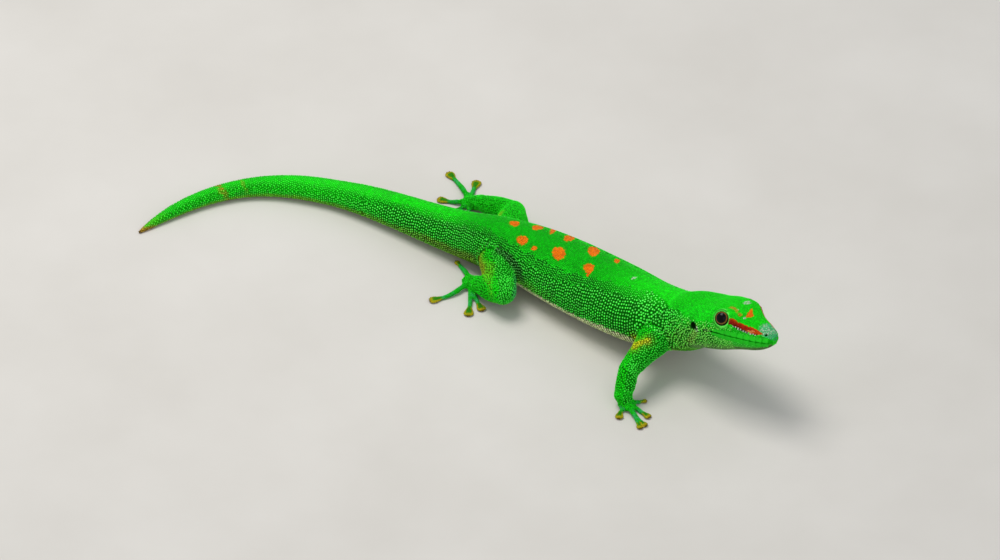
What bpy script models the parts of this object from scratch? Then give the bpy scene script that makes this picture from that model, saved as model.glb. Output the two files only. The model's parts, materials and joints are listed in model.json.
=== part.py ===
"""Madagascar giant day gecko, life size, standing with its head raised and its tail laid in a curve.

Metres, +Z up, the animal resting on Z = 0 and heading towards +X and -Y. The shapes are worked out in
millimetres along one body axis and scaled by MM when a mesh is made. A place on the axis is given by its
distance from the vent, positive towards the snout.
"""

import math

import bmesh
import bpy
from mathutils import Matrix, Vector

MM = 0.001
GAP = 0.3

# Body axis
VENT = (-11.8, 15.05)
SNOUT = 140.8
TAIL_TIP = -128.0
AXIS_STEP = 0.5
HEAD_TIP = (93.1, -73.4, 34.0)
HEAD_HEADING = -45.5
HEAD_PITCH = 11.0
HEAD_ROLL = -9.5
HEAD_SCALE = 0.965
MOUTH_RISE = 0.012
CENTRE_SHIFT = (15.5, 10.64)

# Distance from the vent, heading in degrees, height of the axis above the floor
POSTURE = (
    (-128.0, 42.0, 0.5),
    (-119.0, 39.0, 1.6),
    (-108.0, 33.0, 2.3),
    (-97.0, 24.5, 2.7),
    (-87.0, 12.8, 3.0),
    (-77.0, -0.4, 3.4),
    (-67.0, -11.0, 3.9),
    (-57.0, -18.4, 4.3),
    (-46.0, -25.5, 4.9),
    (-32.0, -31.3, 5.7),
    (-15.0, -33.3, 6.7),
    (0.0, -31.5, 7.9),
    (12.0, -31.2, 9.2),
    (24.0, -34.8, 9.9),
    (36.0, -40.8, 10.7),
    (50.0, -41.5, 11.7),
    (69.0, -42.6, 13.5),
    (80.0, -40.3, 14.8),
    (89.0, -37.8, 16.8),
    (97.0, -39.4, 19.8),
    (104.0, -44.0, 23.1),
    (110.0, -45.5, 25.8),
    (117.0, -45.5, 28.5),
    (140.8, -45.5, 34.0),
)

# Distance from the vent, half width, rise above the axis, depth below it, squareness above and below
TRUNK = (
    (-128.0, 0.35, 0.35, 0.35, 2.0, 2.0),
    (-126.5, 0.75, 0.7, 0.7, 2.0, 2.0),
    (-123.3, 1.3, 1.2, 1.25, 2.0, 2.0),
    (-119.0, 1.8, 1.7, 1.7, 2.0, 2.0),
    (-112.0, 2.45, 2.35, 2.25, 2.0, 2.0),
    (-102.0, 2.95, 2.85, 2.6, 2.0, 2.0),
    (-91.0, 3.3, 3.15, 2.95, 2.0, 2.1),
    (-82.0, 3.65, 3.55, 3.3, 2.0, 2.1),
    (-72.0, 4.1, 3.95, 3.75, 2.0, 2.1),
    (-61.0, 4.6, 4.4, 4.2, 2.0, 2.1),
    (-53.0, 4.85, 4.6, 4.55, 2.0, 2.1),
    (-39.0, 5.8, 5.5, 5.35, 2.0, 2.1),
    (-26.0, 6.6, 6.2, 6.1, 2.0, 2.1),
    (-12.0, 7.5, 7.0, 6.9, 2.0, 2.15),
    (0.0, 8.6, 7.9, 7.6, 2.0, 2.2),
    (12.5, 10.3, 9.4, 8.2, 2.0, 2.3),
    (25.0, 11.9, 10.2, 8.5, 2.0, 2.35),
    (38.0, 13.2, 10.9, 9.3, 2.0, 2.35),
    (48.0, 13.7, 11.1, 9.9, 2.0, 2.35),
    (60.0, 13.8, 11.0, 10.7, 2.0, 2.3),
    (70.0, 13.4, 11.1, 11.1, 2.0, 2.25),
    (80.0, 12.4, 10.9, 11.3, 2.0, 2.2),
    (89.0, 11.0, 10.4, 11.2, 2.0, 2.1),
    (97.0, 10.2, 9.3, 11.1, 2.0, 2.1),
    (104.0, 10.1, 8.4, 11.0, 2.0, 2.1),
    (110.0, 10.5, 8.0, 10.6, 2.0, 2.1),
)

# Distance back from the snout, half width at the mouth line, rise above it, depth below it, squareness
HEAD = (
    (0.0, 0.0, 0.0, 0.0, 2.0, 2.0),
    (0.25, 1.45, 1.46, 0.74, 2.0, 2.0),
    (1.0, 2.6, 2.84, 1.56, 2.0, 2.0),
    (2.5, 3.85, 4.0, 2.8, 2.0, 2.1),
    (5.0, 5.2, 5.1, 4.3, 2.05, 2.15),
    (8.0, 6.4, 6.12, 5.38, 2.15, 2.2),
    (11.0, 7.4, 7.04, 6.16, 2.25, 2.2),
    (14.0, 8.3, 7.86, 7.04, 2.3, 2.2),
    (18.0, 9.3, 8.52, 8.48, 2.3, 2.15),
    (22.0, 10.0, 8.48, 10.02, 2.25, 2.1),
    (26.0, 10.6, 7.94, 11.16, 2.15, 2.1),
    (30.0, 10.8, 7.2, 11.9, 2.05, 2.1),
    (34.0, 10.4, 7.16, 12.04, 2.0, 2.1),
    (40.0, 10.2, 8.6, 11.2, 2.0, 2.1),
)
HEAD_BLEND = (101.0, 114.0)
HEAD_MEET = (96.0, 116.0)

# Swellings and hollows of the head: distance back, sideways, above the mouth line, height, spread
HEAD_FORMS = (
    (15.2, 6.8, 7.5, 1.25, 2.6),
    (18.6, 8.1, 5.7, 0.6, 2.6),
    (22.6, 6.9, 7.2, 0.55, 2.9),
    (10.0, 6.4, 3.8, -0.45, 2.6),
    (5.5, 0.0, 5.22, -0.1, 1.8),
    (2.1, 2.7, 3.38, 0.22, 0.9),
    (27.0, 10.4, 2.58, 0.45, 4.0),
    (24.5, 9.4, -2.02, 0.3, 3.5),
)

# Mouth, eyes, ears and nostrils, on the head's own scale
MOUTH_END = 24.4
MOUTH_FADE = 2.2
GROOVE_DEPTH = 0.5
GROOVE_WIDTH = 0.34
LIP_STEPS = (1.0, 0.42, 0.0, -0.42, -1.0)
LIP_SHARE = 0.25
EYE = (18.6, 7.95, 5.5)
FAR_EYE_SHIFT = (-0.5, -0.4, -0.6)
EYE_LOOK = (0.4, 0.84, 0.36)
EYE_RADIUS = 2.85
EYE_OPENING = 2.33
LID_RING = 2.72
LID_THICK = 0.42
ORBIT_THICK = 0.65
ORBIT_FRONT = 1.45
LID_BOWL = 3.0
LID_BOWL_OUT = 1.9
EAR = (29.8, 10.7, -0.1)
EAR_HALF = (1.05, 1.2, 0.98)
NOSTRIL = (1.9, 2.75, 3.25)
NOSTRIL_RADIUS = 0.46

# Lengths of the body: name, start, end, spacing of the rings, sides
LENGTHS = (
    ("tail_tip", -128.0, -92.0, 3.6, 14),
    ("tail_fore", -92.0, -58.0, 3.8, 16),
    ("tail_mid", -58.0, -27.0, 4.0, 20),
    ("tail_base", -27.0, 3.0, 4.0, 24),
    ("torso", 3.0, 93.0, 3.6, 32),
    ("neck", 93.0, 108.5, 2.2, 36),
)
HEAD_START = 108.5
HEAD_RINGS = 30
HEAD_SIDES = 14

# Limbs: root inside the body, bend, ankle or wrist, then the radii at those three and the swelling between
LIMBS = {
    "foreleg_right": (
        ((54.0, -46.0, 14.4), (43.8, -61.0, 11.4), (41.9, -65.9, 4.4)),
        (6.7, 3.6, 3.3),
        (4.7, 3.6),
    ),
    "foreleg_left": (
        ((60.6, -37.0, 14.4), (68.4, -26.6, 9.0), (76.6, -29.4, 4.0)),
        (5.2, 3.5, 3.0),
        (4.2, 3.4),
    ),
    "hindleg_right": (
        ((-1.6, 4.4, 9.4), (0.9, -16.7, 9.2), (-7.3, -7.6, 4.3)),
        (6.6, 4.8, 3.1),
        (6.2, 4.7),
    ),
    "hindleg_left": (
        ((4.0, 13.8, 9.0), (4.5, 27.8, 6.8), (-6.4, 37.0, 3.9)),
        (6.4, 4.6, 3.0),
        (5.8, 4.2),
    ),
}

# Feet: palm, then each toe's tip, the bend of its shaft to one side, and the half width of its pad
FEET = {
    "foreleg_right": (
        (43.0, -67.2),
        (
            ((40.4, -74.4), -0.7, 1.65),
            ((47.7, -79.5), 0.6, 1.35),
            ((49.9, -78.0), -0.7, 1.35),
            ((51.1, -73.7), 0.5, 1.5),
            ((50.2, -64.5), 0.2, 1.1),
        ),
    ),
    "foreleg_left": (
        (78.6, -29.6),
        (
            ((77.0, -19.2), -0.4, 1.6),
            ((83.2, -19.4), 0.4, 1.65),
            ((88.6, -23.0), 0.4, 1.65),
            ((89.0, -30.6), 0.3, 1.6),
            ((82.6, -36.0), 0.2, 1.1),
        ),
    ),
    "hindleg_right": (
        (-10.2, -2.6),
        (
            ((-15.3, 9.6), -0.5, 1.25),
            ((-24.6, -11.8), 1.7, 1.85),
            ((-11.0, -20.2), 0.4, 1.95),
            ((-5.8, -17.4), -0.6, 1.8),
            ((-2.4, -11.6), -0.4, 1.5),
        ),
    ),
    "hindleg_left": (
        (-10.4, 40.2),
        (
            ((-18.3, 57.9), -0.8, 1.9),
            ((-7.7, 53.4), 0.4, 1.95),
            ((-22.0, 43.4), 0.6, 1.8),
            ((-18.0, 35.6), 0.3, 1.6),
            ((-11.6, 33.4), 0.2, 1.1),
        ),
    ),
}
PALM_HALF = (3.4, 3.2, 1.95)
WRIST_END = 2.5
TOE_ROOT = 1.05
TOE_WAIST = 0.9
PAD_RISE = 0.62
LIMB_SIDES = 14
TOE_SIDES = 8

# Stretches of the trunk that the legs are cut clear of
HIND_TRUNK = -10.0
FORE_TRUNK = 60.0
TRUNK_REACH = 50.0


def cubic(rows, at):
    """The columns of a table of stations at one place, on a smooth curve through them."""
    last = len(rows) - 1
    if at <= rows[0][0]:
        return rows[0][1:]
    if at >= rows[last][0]:
        return rows[last][1:]
    i = 0
    while rows[i + 1][0] < at:
        i += 1
    x0, x1 = rows[i][0], rows[i + 1][0]
    width = x1 - x0
    t = (at - x0) / width
    found = []
    for c in range(1, len(rows[0])):
        y0, y1 = rows[i][c], rows[i + 1][c]
        slope = (y1 - y0) / width
        before = slope if i == 0 else (y0 - rows[i - 1][c]) / (x0 - rows[i - 1][0])
        after = slope if i + 1 == last else (rows[i + 2][c] - y1) / (rows[i + 2][0] - x1)
        m0 = 0.0 if before * slope <= 0 else 2 * before * slope / (before + slope)
        m1 = 0.0 if after * slope <= 0 else 2 * after * slope / (after + slope)
        h00 = (1 + 2 * t) * (1 - t) ** 2
        h10 = t * (1 - t) ** 2
        h01 = t * t * (3 - 2 * t)
        h11 = t * t * (t - 1)
        found.append(h00 * y0 + h10 * width * m0 + h01 * y1 + h11 * width * m1)
    return tuple(found)


def smoothstep(low, high, at):
    t = min(max((at - low) / (high - low), 0.0), 1.0)
    return t * t * (3 - 2 * t)


def walk_axis():
    """Points of the body axis every AXIS_STEP, from the vent forwards and backwards."""
    points = {0: Vector((VENT[0], VENT[1], cubic(POSTURE, 0.0)[1]))}
    for direction, end in ((1, SNOUT), (-1, TAIL_TIP)):
        steps = math.ceil(abs(end) / AXIS_STEP)
        for i in range(steps):
            here = direction * i * AXIS_STEP
            there = direction * (i + 1) * AXIS_STEP
            heading = math.radians(cubic(POSTURE, (here + there) / 2)[0])
            rise = cubic(POSTURE, there)[1] - cubic(POSTURE, here)[1]
            level = math.sqrt(max(AXIS_STEP**2 - rise**2, 0.0)) * direction
            move = Vector((level * math.cos(heading), level * math.sin(heading), rise))
            points[direction * (i + 1)] = points[direction * i] + move
    return points


AXIS = walk_axis()


def head_axes():
    """Forward, left and up directions of the head."""
    heading = math.radians(HEAD_HEADING)
    pitch = math.radians(HEAD_PITCH)
    roll = math.radians(HEAD_ROLL)
    level = Vector((math.cos(heading), math.sin(heading), 0.0))
    left = Vector((-math.sin(heading), math.cos(heading), 0.0))
    forward = level * math.cos(pitch) + Vector((0.0, 0.0, math.sin(pitch)))
    upward = forward.cross(left)
    tilted = left * math.cos(roll) + upward * math.sin(roll)
    return forward, tilted, forward.cross(tilted)


def head_share(s):
    return smoothstep(HEAD_MEET[0], HEAD_MEET[1], s)


def axis_point(s):
    i = s / AXIS_STEP
    low = max(min(math.floor(i), max(AXIS) - 1), min(AXIS))
    walked = AXIS[low].lerp(AXIS[low + 1], i - low)
    share = head_share(s)
    if share <= 0:
        return walked
    forward, left, upward = head_axes()
    back = (SNOUT - s) * HEAD_SCALE
    return walked.lerp(Vector(HEAD_TIP) - forward * back + upward * back * MOUTH_RISE, share)


def frame_at(s):
    """Forward, left and up directions of the section at s."""
    heading = math.radians(cubic(POSTURE, s)[0])
    ahead = axis_point(min(s + 1.0, SNOUT)) - axis_point(s - 1.0 if s > TAIL_TIP + 1.0 else s)
    pitch = math.asin(ahead.z / ahead.length)
    level = Vector((math.cos(heading), math.sin(heading), 0.0))
    left = Vector((-math.sin(heading), math.cos(heading), 0.0))
    forward = level * math.cos(pitch) + Vector((0.0, 0.0, math.sin(pitch)))
    share = head_share(s)
    if share > 0:
        ahead, aside, _ = head_axes()
        forward = forward.lerp(ahead, share).normalized()
        left = left.lerp(aside, share)
        left = (left - forward * left.dot(forward)).normalized()
    return forward, left, forward.cross(left)


def section_sizes(s):
    """Half width, rise, depth and squareness above and below, at s."""
    trunk = cubic(TRUNK, s)
    share = smoothstep(HEAD_BLEND[0], HEAD_BLEND[1], s)
    if share <= 0:
        return trunk
    rows = [(math.sqrt(row[0]),) + row[1:] for row in HEAD]
    head = cubic(rows, math.sqrt(max(SNOUT - s, 0.0)))
    head = tuple(size * HEAD_SCALE for size in head[:3]) + head[3:]
    return tuple(a * (1 - share) + b * share for a, b in zip(trunk, head))


def body_point(s, turn, lip=None):
    """A point of the body's surface: turn goes round from the left side over the top. lip, if given, is a
    height above the mouth line on the side that turn says."""
    half, rise, depth, square_up, square_down = section_sizes(s)
    back = SNOUT - s
    if lip is not None:
        side = 1.0 if math.cos(turn) > 0 else -1.0
        reach = rise if lip > 0 else depth
        square = square_up if lip > 0 else square_down
        share = LIP_SHARE * abs(lip) / LIP_STEPS[0]
        z = max(min(lip, share * reach), -share * reach)
        x = side * half * (1 - (abs(z) / max(reach, 1e-6)) ** square) ** (1 / square)
    else:
        up = math.sin(turn) >= 0
        square = square_up if up else square_down
        reach = rise if up else depth
        x = half * math.copysign(abs(math.cos(turn)) ** (2 / square), math.cos(turn))
        z = reach * math.copysign(abs(math.sin(turn)) ** (2 / square), math.sin(turn))
    if s > HEAD_BLEND[0] - 6.0:
        out = Vector((x / max(half, 0.1), z / max(rise if z > 0 else depth, 0.1)))
        if out.length > 0:
            out.normalize()
        push = 0.0
        for b, w, h, height, spread in HEAD_FORMS:
            for side in (1.0, -1.0) if w > 0 else (1.0,):
                away = (back - b) ** 2 + (x / HEAD_SCALE - side * w) ** 2 + (z / HEAD_SCALE - h) ** 2
                push += height * math.exp(-away / (2 * spread**2))
        push *= min(1.0, back / 1.5)
        closed = 1 - smoothstep(MOUTH_END - MOUTH_FADE, MOUTH_END, back)
        narrow = min(1.0, half / 3.0)
        push -= GROOVE_DEPTH * closed * narrow * math.exp(-((z / GROOVE_WIDTH) ** 2))
        x += out.x * push
        z += out.y * push
    forward, left, upward = frame_at(s)
    nose = 0.8 * max(z, 0.0) / (max(z, 0.0) + 1.0) * math.exp(-((back / 2.2) ** 2)) if s > 130 else 0.0
    return axis_point(s) + left * x + upward * z + forward * nose


def head_place(place):
    """A point of the head from its distance back, sideways and above the line of the mouth."""
    back, side, above = (size * HEAD_SCALE for size in place)
    forward, left, upward = head_axes()
    return Vector(HEAD_TIP) - forward * back + left * side + upward * (above + back * MOUTH_RISE)


def mesh_from(name, bm, colour, roughness, collection):
    """An object from a bmesh in millimetres, moved so that the part's box is centred."""
    shift = Vector((CENTRE_SHIFT[0], CENTRE_SHIFT[1], 0.0))
    for v in bm.verts:
        v.co = (v.co + shift) * MM
    bmesh.ops.recalc_face_normals(bm, faces=bm.faces[:])
    mesh = bpy.data.meshes.new(name)
    bm.to_mesh(mesh)
    bm.free()
    obj = bpy.data.objects.new(name, mesh)
    collection.objects.link(obj)
    material = bpy.data.materials.get(colour[0]) or bpy.data.materials.new(colour[0])
    material.use_nodes = True
    shader = material.node_tree.nodes["Principled BSDF"]
    shader.inputs["Base Color"].default_value = colour[1]
    shader.inputs["Roughness"].default_value = roughness
    shader.inputs["Metallic"].default_value = 0.0
    mesh.materials.append(material)
    mesh.shade_smooth()
    mesh.set_sharp_from_angle(angle=math.radians(50))
    return obj


def loft(bm, rings, start_pole=None, end_pole=None):
    """Bridges rings of equal count, and closes each end with a pole or a flat fan of the ring itself."""
    made = [[bm.verts.new(p) for p in ring] for ring in rings]
    for a, b in zip(made, made[1:]):
        for i in range(len(a)):
            j = (i + 1) % len(a)
            bm.faces.new((a[i], a[j], b[j], b[i]))
    for ring, pole in ((made[0], start_pole), (made[-1], end_pole)):
        if pole is None:
            bm.faces.new(ring)
        else:
            tip = bm.verts.new(pole)
            for i in range(len(ring)):
                bm.faces.new((ring[i], ring[(i + 1) % len(ring)], tip))


def cut_flat(bm, point, normal):
    """Keeps what is in front of the plane, and closes the cut."""
    geometry = bm.verts[:] + bm.edges[:] + bm.faces[:]
    cut = bmesh.ops.bisect_plane(
        bm, geom=geometry, dist=1e-5, plane_co=point, plane_no=normal, clear_inner=True
    )
    edges = [e for e in cut["geom_cut"] if isinstance(e, bmesh.types.BMEdge) and e.is_boundary]
    if edges:
        bmesh.ops.holes_fill(bm, edges=edges, sides=0)


def turns(sides):
    return [2 * math.pi * i / sides for i in range(sides)]


def body_length(start, end, spacing, sides):
    """One length of the body between two flat faces."""
    low = start + (GAP / 2 if start > TAIL_TIP else 0.25)
    high = end - GAP / 2
    count = max(2, round((high - low) / spacing))
    bm = bmesh.new()
    places = [low + (high - low) * i / count for i in range(count + 1)]
    rings = [[body_point(s, t) for t in turns(sides)] for s in places]
    tip = axis_point(TAIL_TIP) if start <= TAIL_TIP else None
    loft(bm, rings, start_pole=tip)
    if start < 0:
        cut_flat(bm, Vector((0, 0, 0)), Vector((0, 0, 1)))
    return bm


def head_ring(s, over, under):
    """A ring of the head, with rows set along the lips."""
    ring = []
    left = [(0.0, z) for z in reversed(LIP_STEPS)]
    right = [(math.pi, z) for z in LIP_STEPS]
    first = 0.3
    ring += left
    ring += [(first + (math.pi - 2 * first) * i / over, None) for i in range(over + 1)]
    ring += right
    ring += [(math.pi + first + (math.pi - 2 * first) * i / under, None) for i in range(under + 1)]
    return [body_point(s, t, lip) for t, lip in ring]


def head_body():
    """The head's own skin, from the neck to a pole on the mouth line."""
    low = HEAD_START + GAP / 2
    bm = bmesh.new()
    reach = math.sqrt(SNOUT - low)
    backs = [(reach * i / HEAD_RINGS) ** 2 for i in range(HEAD_RINGS, 0, -1)]
    backs = [b for b in backs if b > 0.12]
    rings = [head_ring(SNOUT - b, HEAD_SIDES, HEAD_SIDES - 4) for b in backs]
    loft(bm, rings, end_pole=axis_point(SNOUT) - frame_at(SNOUT)[0] * 0.15)
    return bm


def ball(radius, centre, segments=18, rings=12, scale=None, turn=None):
    bm = bmesh.new()
    bmesh.ops.create_uvsphere(bm, u_segments=segments, v_segments=rings, radius=radius)
    if scale:
        bmesh.ops.scale(bm, vec=Vector(scale), verts=bm.verts)
    if turn:
        bmesh.ops.transform(bm, matrix=turn.to_4x4(), verts=bm.verts)
    bmesh.ops.translate(bm, vec=centre, verts=bm.verts)
    return bm


def torus(major, minor, centre, axis, around=28, across=8):
    bm = bmesh.new()
    side = axis.orthogonal().normalized()
    other = axis.cross(side).normalized()
    rings = []
    for t in turns(around):
        out = side * math.cos(t) + other * math.sin(t)
        middle = centre + out * major
        rings.append([middle + (out * math.cos(u) + axis * math.sin(u)) * minor for u in turns(across)])
    made = [[bm.verts.new(p) for p in ring] for ring in rings]
    for i in range(around):
        a, b = made[i], made[(i + 1) % around]
        for j in range(across):
            k = (j + 1) % across
            bm.faces.new((a[j], a[k], b[k], b[j]))
    return bm


def look_of(side):
    """Where an eye sits and looks: its centre, the middle of its opening and its direction."""
    forward, left, upward = head_axes()
    look = forward * EYE_LOOK[0] + left * side * EYE_LOOK[1] + upward * EYE_LOOK[2]
    look.normalize()
    shift = FAR_EYE_SHIFT if side > 0 else (0.0, 0.0, 0.0)
    middle = head_place((EYE[0] + shift[0], side * (EYE[1] + shift[1]), EYE[2] + shift[2]))
    inset = math.sqrt(EYE_RADIUS**2 - EYE_OPENING**2)
    return middle - look * inset, middle, look


def orbit(centre, look):
    """The rounded rim of the eye socket: a ball round the eye, cut flat behind the opening of the lids."""
    turn = look.to_track_quat("Z", "Y").to_matrix()
    bm = ball(EYE_RADIUS + ORBIT_THICK, centre, 20, 14, turn=turn)
    cut_flat(bm, centre + look * ORBIT_FRONT, -look)
    return bm


def limb_piece(a, b, radius_a, radius_b, swell, sides, rings=5):
    """A limb's length with round ends, thickest where its muscle is."""
    axis = (b - a).normalized()
    side = axis.orthogonal().normalized()
    other = axis.cross(side).normalized()
    stations = []
    for angle in (-65, -35):
        t = math.radians(angle)
        stations.append((a + axis * math.sin(t) * radius_a, math.cos(t) * radius_a))
    for i in range(rings + 1):
        t = i / rings
        radius = radius_a * (1 - t) + radius_b * t
        bulge = (swell - (radius_a + radius_b) / 2) * math.sin(math.pi * t) ** 2
        stations.append((a.lerp(b, t), radius + bulge))
    for angle in (35, 65):
        t = math.radians(angle)
        stations.append((b + axis * math.sin(t) * radius_b, math.cos(t) * radius_b))
    bm = bmesh.new()
    loft(
        bm,
        [[c + (side * math.cos(t) + other * math.sin(t)) * r for t in turns(sides)] for c, r in stations],
        start_pole=a - axis * radius_a,
        end_pole=b + axis * radius_b,
    )
    return bm


def toe(root, tip, bend, pad, grow=0.0):
    """A slim shaft that lies on the floor and widens into a rounded pad."""
    start = Vector((root[0], root[1], 1.5))
    end = Vector((tip[0], tip[1], PAD_RISE))
    run = end - start
    run.z = 0
    length = run.length
    along = run.normalized()
    across = Vector((-along.y, along.x, 0.0))
    pad_length = pad * 2.7
    waist = 1 - pad_length / length
    stations = (
        (0.0, 1.5, 1.25),
        (0.22, 1.25, 1.1),
        (0.5 * waist + 0.1, TOE_ROOT, 0.95),
        (waist, TOE_WAIST, 0.82),
        (waist + (1 - waist) * 0.3, pad * 0.7, 0.76),
        (waist + (1 - waist) * 0.55, pad * 0.95, 0.72),
        (waist + (1 - waist) * 0.72, pad, 0.68),
        (waist + (1 - waist) * 0.86, pad * 0.86, 0.58),
        (waist + (1 - waist) * 0.96, pad * 0.52, 0.42),
    )
    rings = []
    for t, width, height in stations:
        lift = start.z * (1 - smoothstep(0.0, 1.0, t / max(waist, 0.1))) + PAD_RISE * smoothstep(
            0.0, 1.0, t / max(waist, 0.1)
        )
        lift += 0.35 * math.sin(math.pi * min(t / waist, 1.0))
        middle = start + along * length * t + across * bend * math.sin(math.pi * t)
        middle.z = lift
        drift = along + across * (bend * math.pi * math.cos(math.pi * t) / length)
        drift.z = 0
        drift.normalize()
        wide = Vector((-drift.y, drift.x, 0.0))
        rings.append(
            [
                middle + wide * math.cos(a) * (width + grow) + Vector((0, 0, math.sin(a) * (height + grow)))
                for a in turns(TOE_SIDES)
            ]
        )
    bm = bmesh.new()
    tip_point = start + along * length
    tip_point.z = PAD_RISE
    loft(bm, rings, end_pole=tip_point)
    return bm


def join(name, pieces, colour, roughness, collection, helpers, solver="EXACT"):
    """One object from several overlapping closed pieces, by a Boolean union."""
    first = mesh_from(name, pieces[0], colour, roughness, collection)
    others = bpy.data.collections.new(name + "_pieces")
    helpers.children.link(others)
    for i, bm in enumerate(pieces[1:]):
        mesh_from(f"{name}_piece_{i}", bm, colour, roughness, others)
    union = first.modifiers.new("join", "BOOLEAN")
    union.operation = "UNION"
    union.operand_type = "COLLECTION"
    union.collection = others
    union.solver = solver
    apply_modifiers(first)
    for obj in list(others.objects):
        bpy.data.objects.remove(obj)
    bpy.data.collections.remove(others)
    return first


def apply_modifiers(obj):
    graph = bpy.context.evaluated_depsgraph_get()
    made = bpy.data.meshes.new_from_object(obj.evaluated_get(graph))
    old = obj.data
    obj.modifiers.clear()
    obj.data = made
    made.name = obj.name
    bpy.data.meshes.remove(old)


def subtract(obj, bm, cutters, solver="EXACT"):
    """Takes a closed shape out of an object."""
    cutter = mesh_from(obj.name + "_cutter", bm, ("Cutter", (0.5, 0.5, 0.5, 1.0)), 0.5, cutters)
    cutter.hide_render = True
    cutter.display_type = "WIRE"
    cut = obj.modifiers.new("cut", "BOOLEAN")
    cut.operation = "DIFFERENCE"
    cut.object = cutter
    cut.solver = solver
    apply_modifiers(obj)
    bpy.data.objects.remove(cutter)


def largest_body(obj):
    """Leaves only the largest closed surface of an object."""
    bm = bmesh.new()
    bm.from_mesh(obj.data)
    bmesh.ops.remove_doubles(bm, verts=bm.verts[:], dist=1e-7)
    seen = set()
    groups = []
    for v in bm.verts:
        if v in seen:
            continue
        group, stack = [], [v]
        seen.add(v)
        while stack:
            here = stack.pop()
            group.append(here)
            for e in here.link_edges:
                there = e.other_vert(here)
                if there not in seen:
                    seen.add(there)
                    stack.append(there)
        groups.append(group)
    groups.sort(key=len, reverse=True)
    for group in groups[1:]:
        bmesh.ops.delete(bm, geom=group, context="VERTS")
    bmesh.ops.recalc_face_normals(bm, faces=bm.faces[:])
    bm.to_mesh(obj.data)
    bm.free()


def trunk_cutter(start, end, grow, spacing=3.0, sides=36):
    """The body between two places, grown by a little all round."""
    bm = bmesh.new()
    count = round((end - start) / spacing)
    rings = []
    for i in range(count + 1):
        s = start + (end - start) * i / count
        middle = axis_point(s)
        ring = []
        for t in turns(sides):
            p = body_point(s, t)
            ring.append(p + (p - middle).normalized() * grow)
        rings.append(ring)
    loft(bm, rings)
    return bm


SKIN = ("Skin", (0.03, 0.46, 0.02, 1.0))
EYE_COLOUR = ("Eye", (0.012, 0.008, 0.006, 1.0))


def build():
    for obj in list(bpy.data.objects):
        bpy.data.objects.remove(obj)
    scene = bpy.context.scene
    parts = bpy.data.collections.new("Giant day gecko")
    cutters = bpy.data.collections.new("Cutters")
    scene.collection.children.link(parts)
    scene.collection.children.link(cutters)

    # Trunk, neck and tail
    for name, start, end, spacing, sides in LENGTHS:
        mesh_from(name, body_length(start, end, spacing, sides), SKIN, 0.55, parts)

    # Head with lids, eye sockets, ears and nostrils
    lids = []
    for side in (1, -1):
        centre, middle, look = look_of(side)
        lids.append(torus(LID_RING, LID_THICK, middle - look * 0.1, look))
        lids.append(orbit(centre, look))
    head = join("head", [head_body()] + lids, SKIN, 0.5, parts, cutters, "MANIFOLD")
    for side, name in ((1, "eye_left"), (-1, "eye_right")):
        centre, middle, look = look_of(side)
        turn = look.to_track_quat("Z", "Y").to_matrix()
        subtract(head, ball(EYE_RADIUS + GAP, centre, 20, 14, turn=turn), cutters, "MANIFOLD")
        bowl = ball(LID_BOWL, middle + look * LID_BOWL_OUT, 20, 14, turn=turn)
        subtract(head, bowl, cutters, "MANIFOLD")
        mesh_from(name, ball(EYE_RADIUS, centre, 20, 14, turn=turn), EYE_COLOUR, 0.05, parts)
        forward, left, upward = head_axes()
        axes = Matrix((forward, left, upward)).transposed()
        ear = head_place((EAR[0], side * EAR[1], EAR[2]))
        subtract(head, ball(1.0, ear, 12, 8, scale=EAR_HALF, turn=axes), cutters, "MANIFOLD")
        nostril = head_place((NOSTRIL[0], side * NOSTRIL[1], NOSTRIL[2]))
        subtract(head, ball(NOSTRIL_RADIUS, nostril, 8, 6), cutters, "MANIFOLD")
    largest_body(head)

    # Legs
    for name, (places, radii, swells) in LIMBS.items():
        a, b, c = (Vector(place) for place in places)
        palm, toes = FEET[name]
        palm_at = Vector((palm[0], palm[1], PALM_HALF[2] * 0.72))
        up = (a - b).normalized()
        down = (c - b).normalized()
        knee = (up - down).normalized()
        back = (b - c).normalized()
        onward = (palm_at - c).normalized()
        ankle = (back - onward).normalized()

        upper = limb_piece(a, b, radii[0], radii[1], swells[0], LIMB_SIDES)
        cut_flat(upper, b + knee * GAP / 2, knee)
        upper = mesh_from(name + "_upper", upper, SKIN, 0.55, parts)
        low = HIND_TRUNK if name.startswith("hind") else FORE_TRUNK
        subtract(upper, trunk_cutter(low, low + TRUNK_REACH, GAP), cutters)
        largest_body(upper)

        facing = Vector((onward.x, onward.y, 0.0)).normalized()
        turn = Matrix((facing, Vector((-facing.y, facing.x, 0.0)), Vector((0, 0, 1)))).transposed()
        lower = limb_piece(b, c, radii[1], radii[2], swells[1], LIMB_SIDES)
        cut_flat(lower, b - knee * GAP / 2, -knee)
        cut_flat(lower, c + ankle * GAP / 2, ankle)
        lower = mesh_from(name + "_lower", lower, SKIN, 0.55, parts)
        grown = tuple(half + GAP for half in PALM_HALF)
        subtract(lower, ball(1.0, palm_at, 14, 8, scale=grown, turn=turn), cutters)
        for tip, side, pad in toes:
            if (Vector((tip[0], tip[1], 0.0)) - palm_at).dot(c - b) < 0:
                subtract(lower, toe(palm, tip, side, pad, GAP), cutters)
        largest_body(lower)

        wrist = limb_piece(c, palm_at, radii[2], WRIST_END, (radii[2] + WRIST_END) / 2, LIMB_SIDES, 2)
        cut_flat(wrist, c - ankle * GAP / 2, -ankle)
        pieces = [wrist, ball(1.0, palm_at, 14, 8, scale=PALM_HALF, turn=turn)]
        pieces += [toe(palm, tip, side, pad) for tip, side, pad in toes]
        foot = join(name + "_foot", pieces, SKIN, 0.55, parts, cutters)
        trim_foot(foot)
        largest_body(foot)


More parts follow.
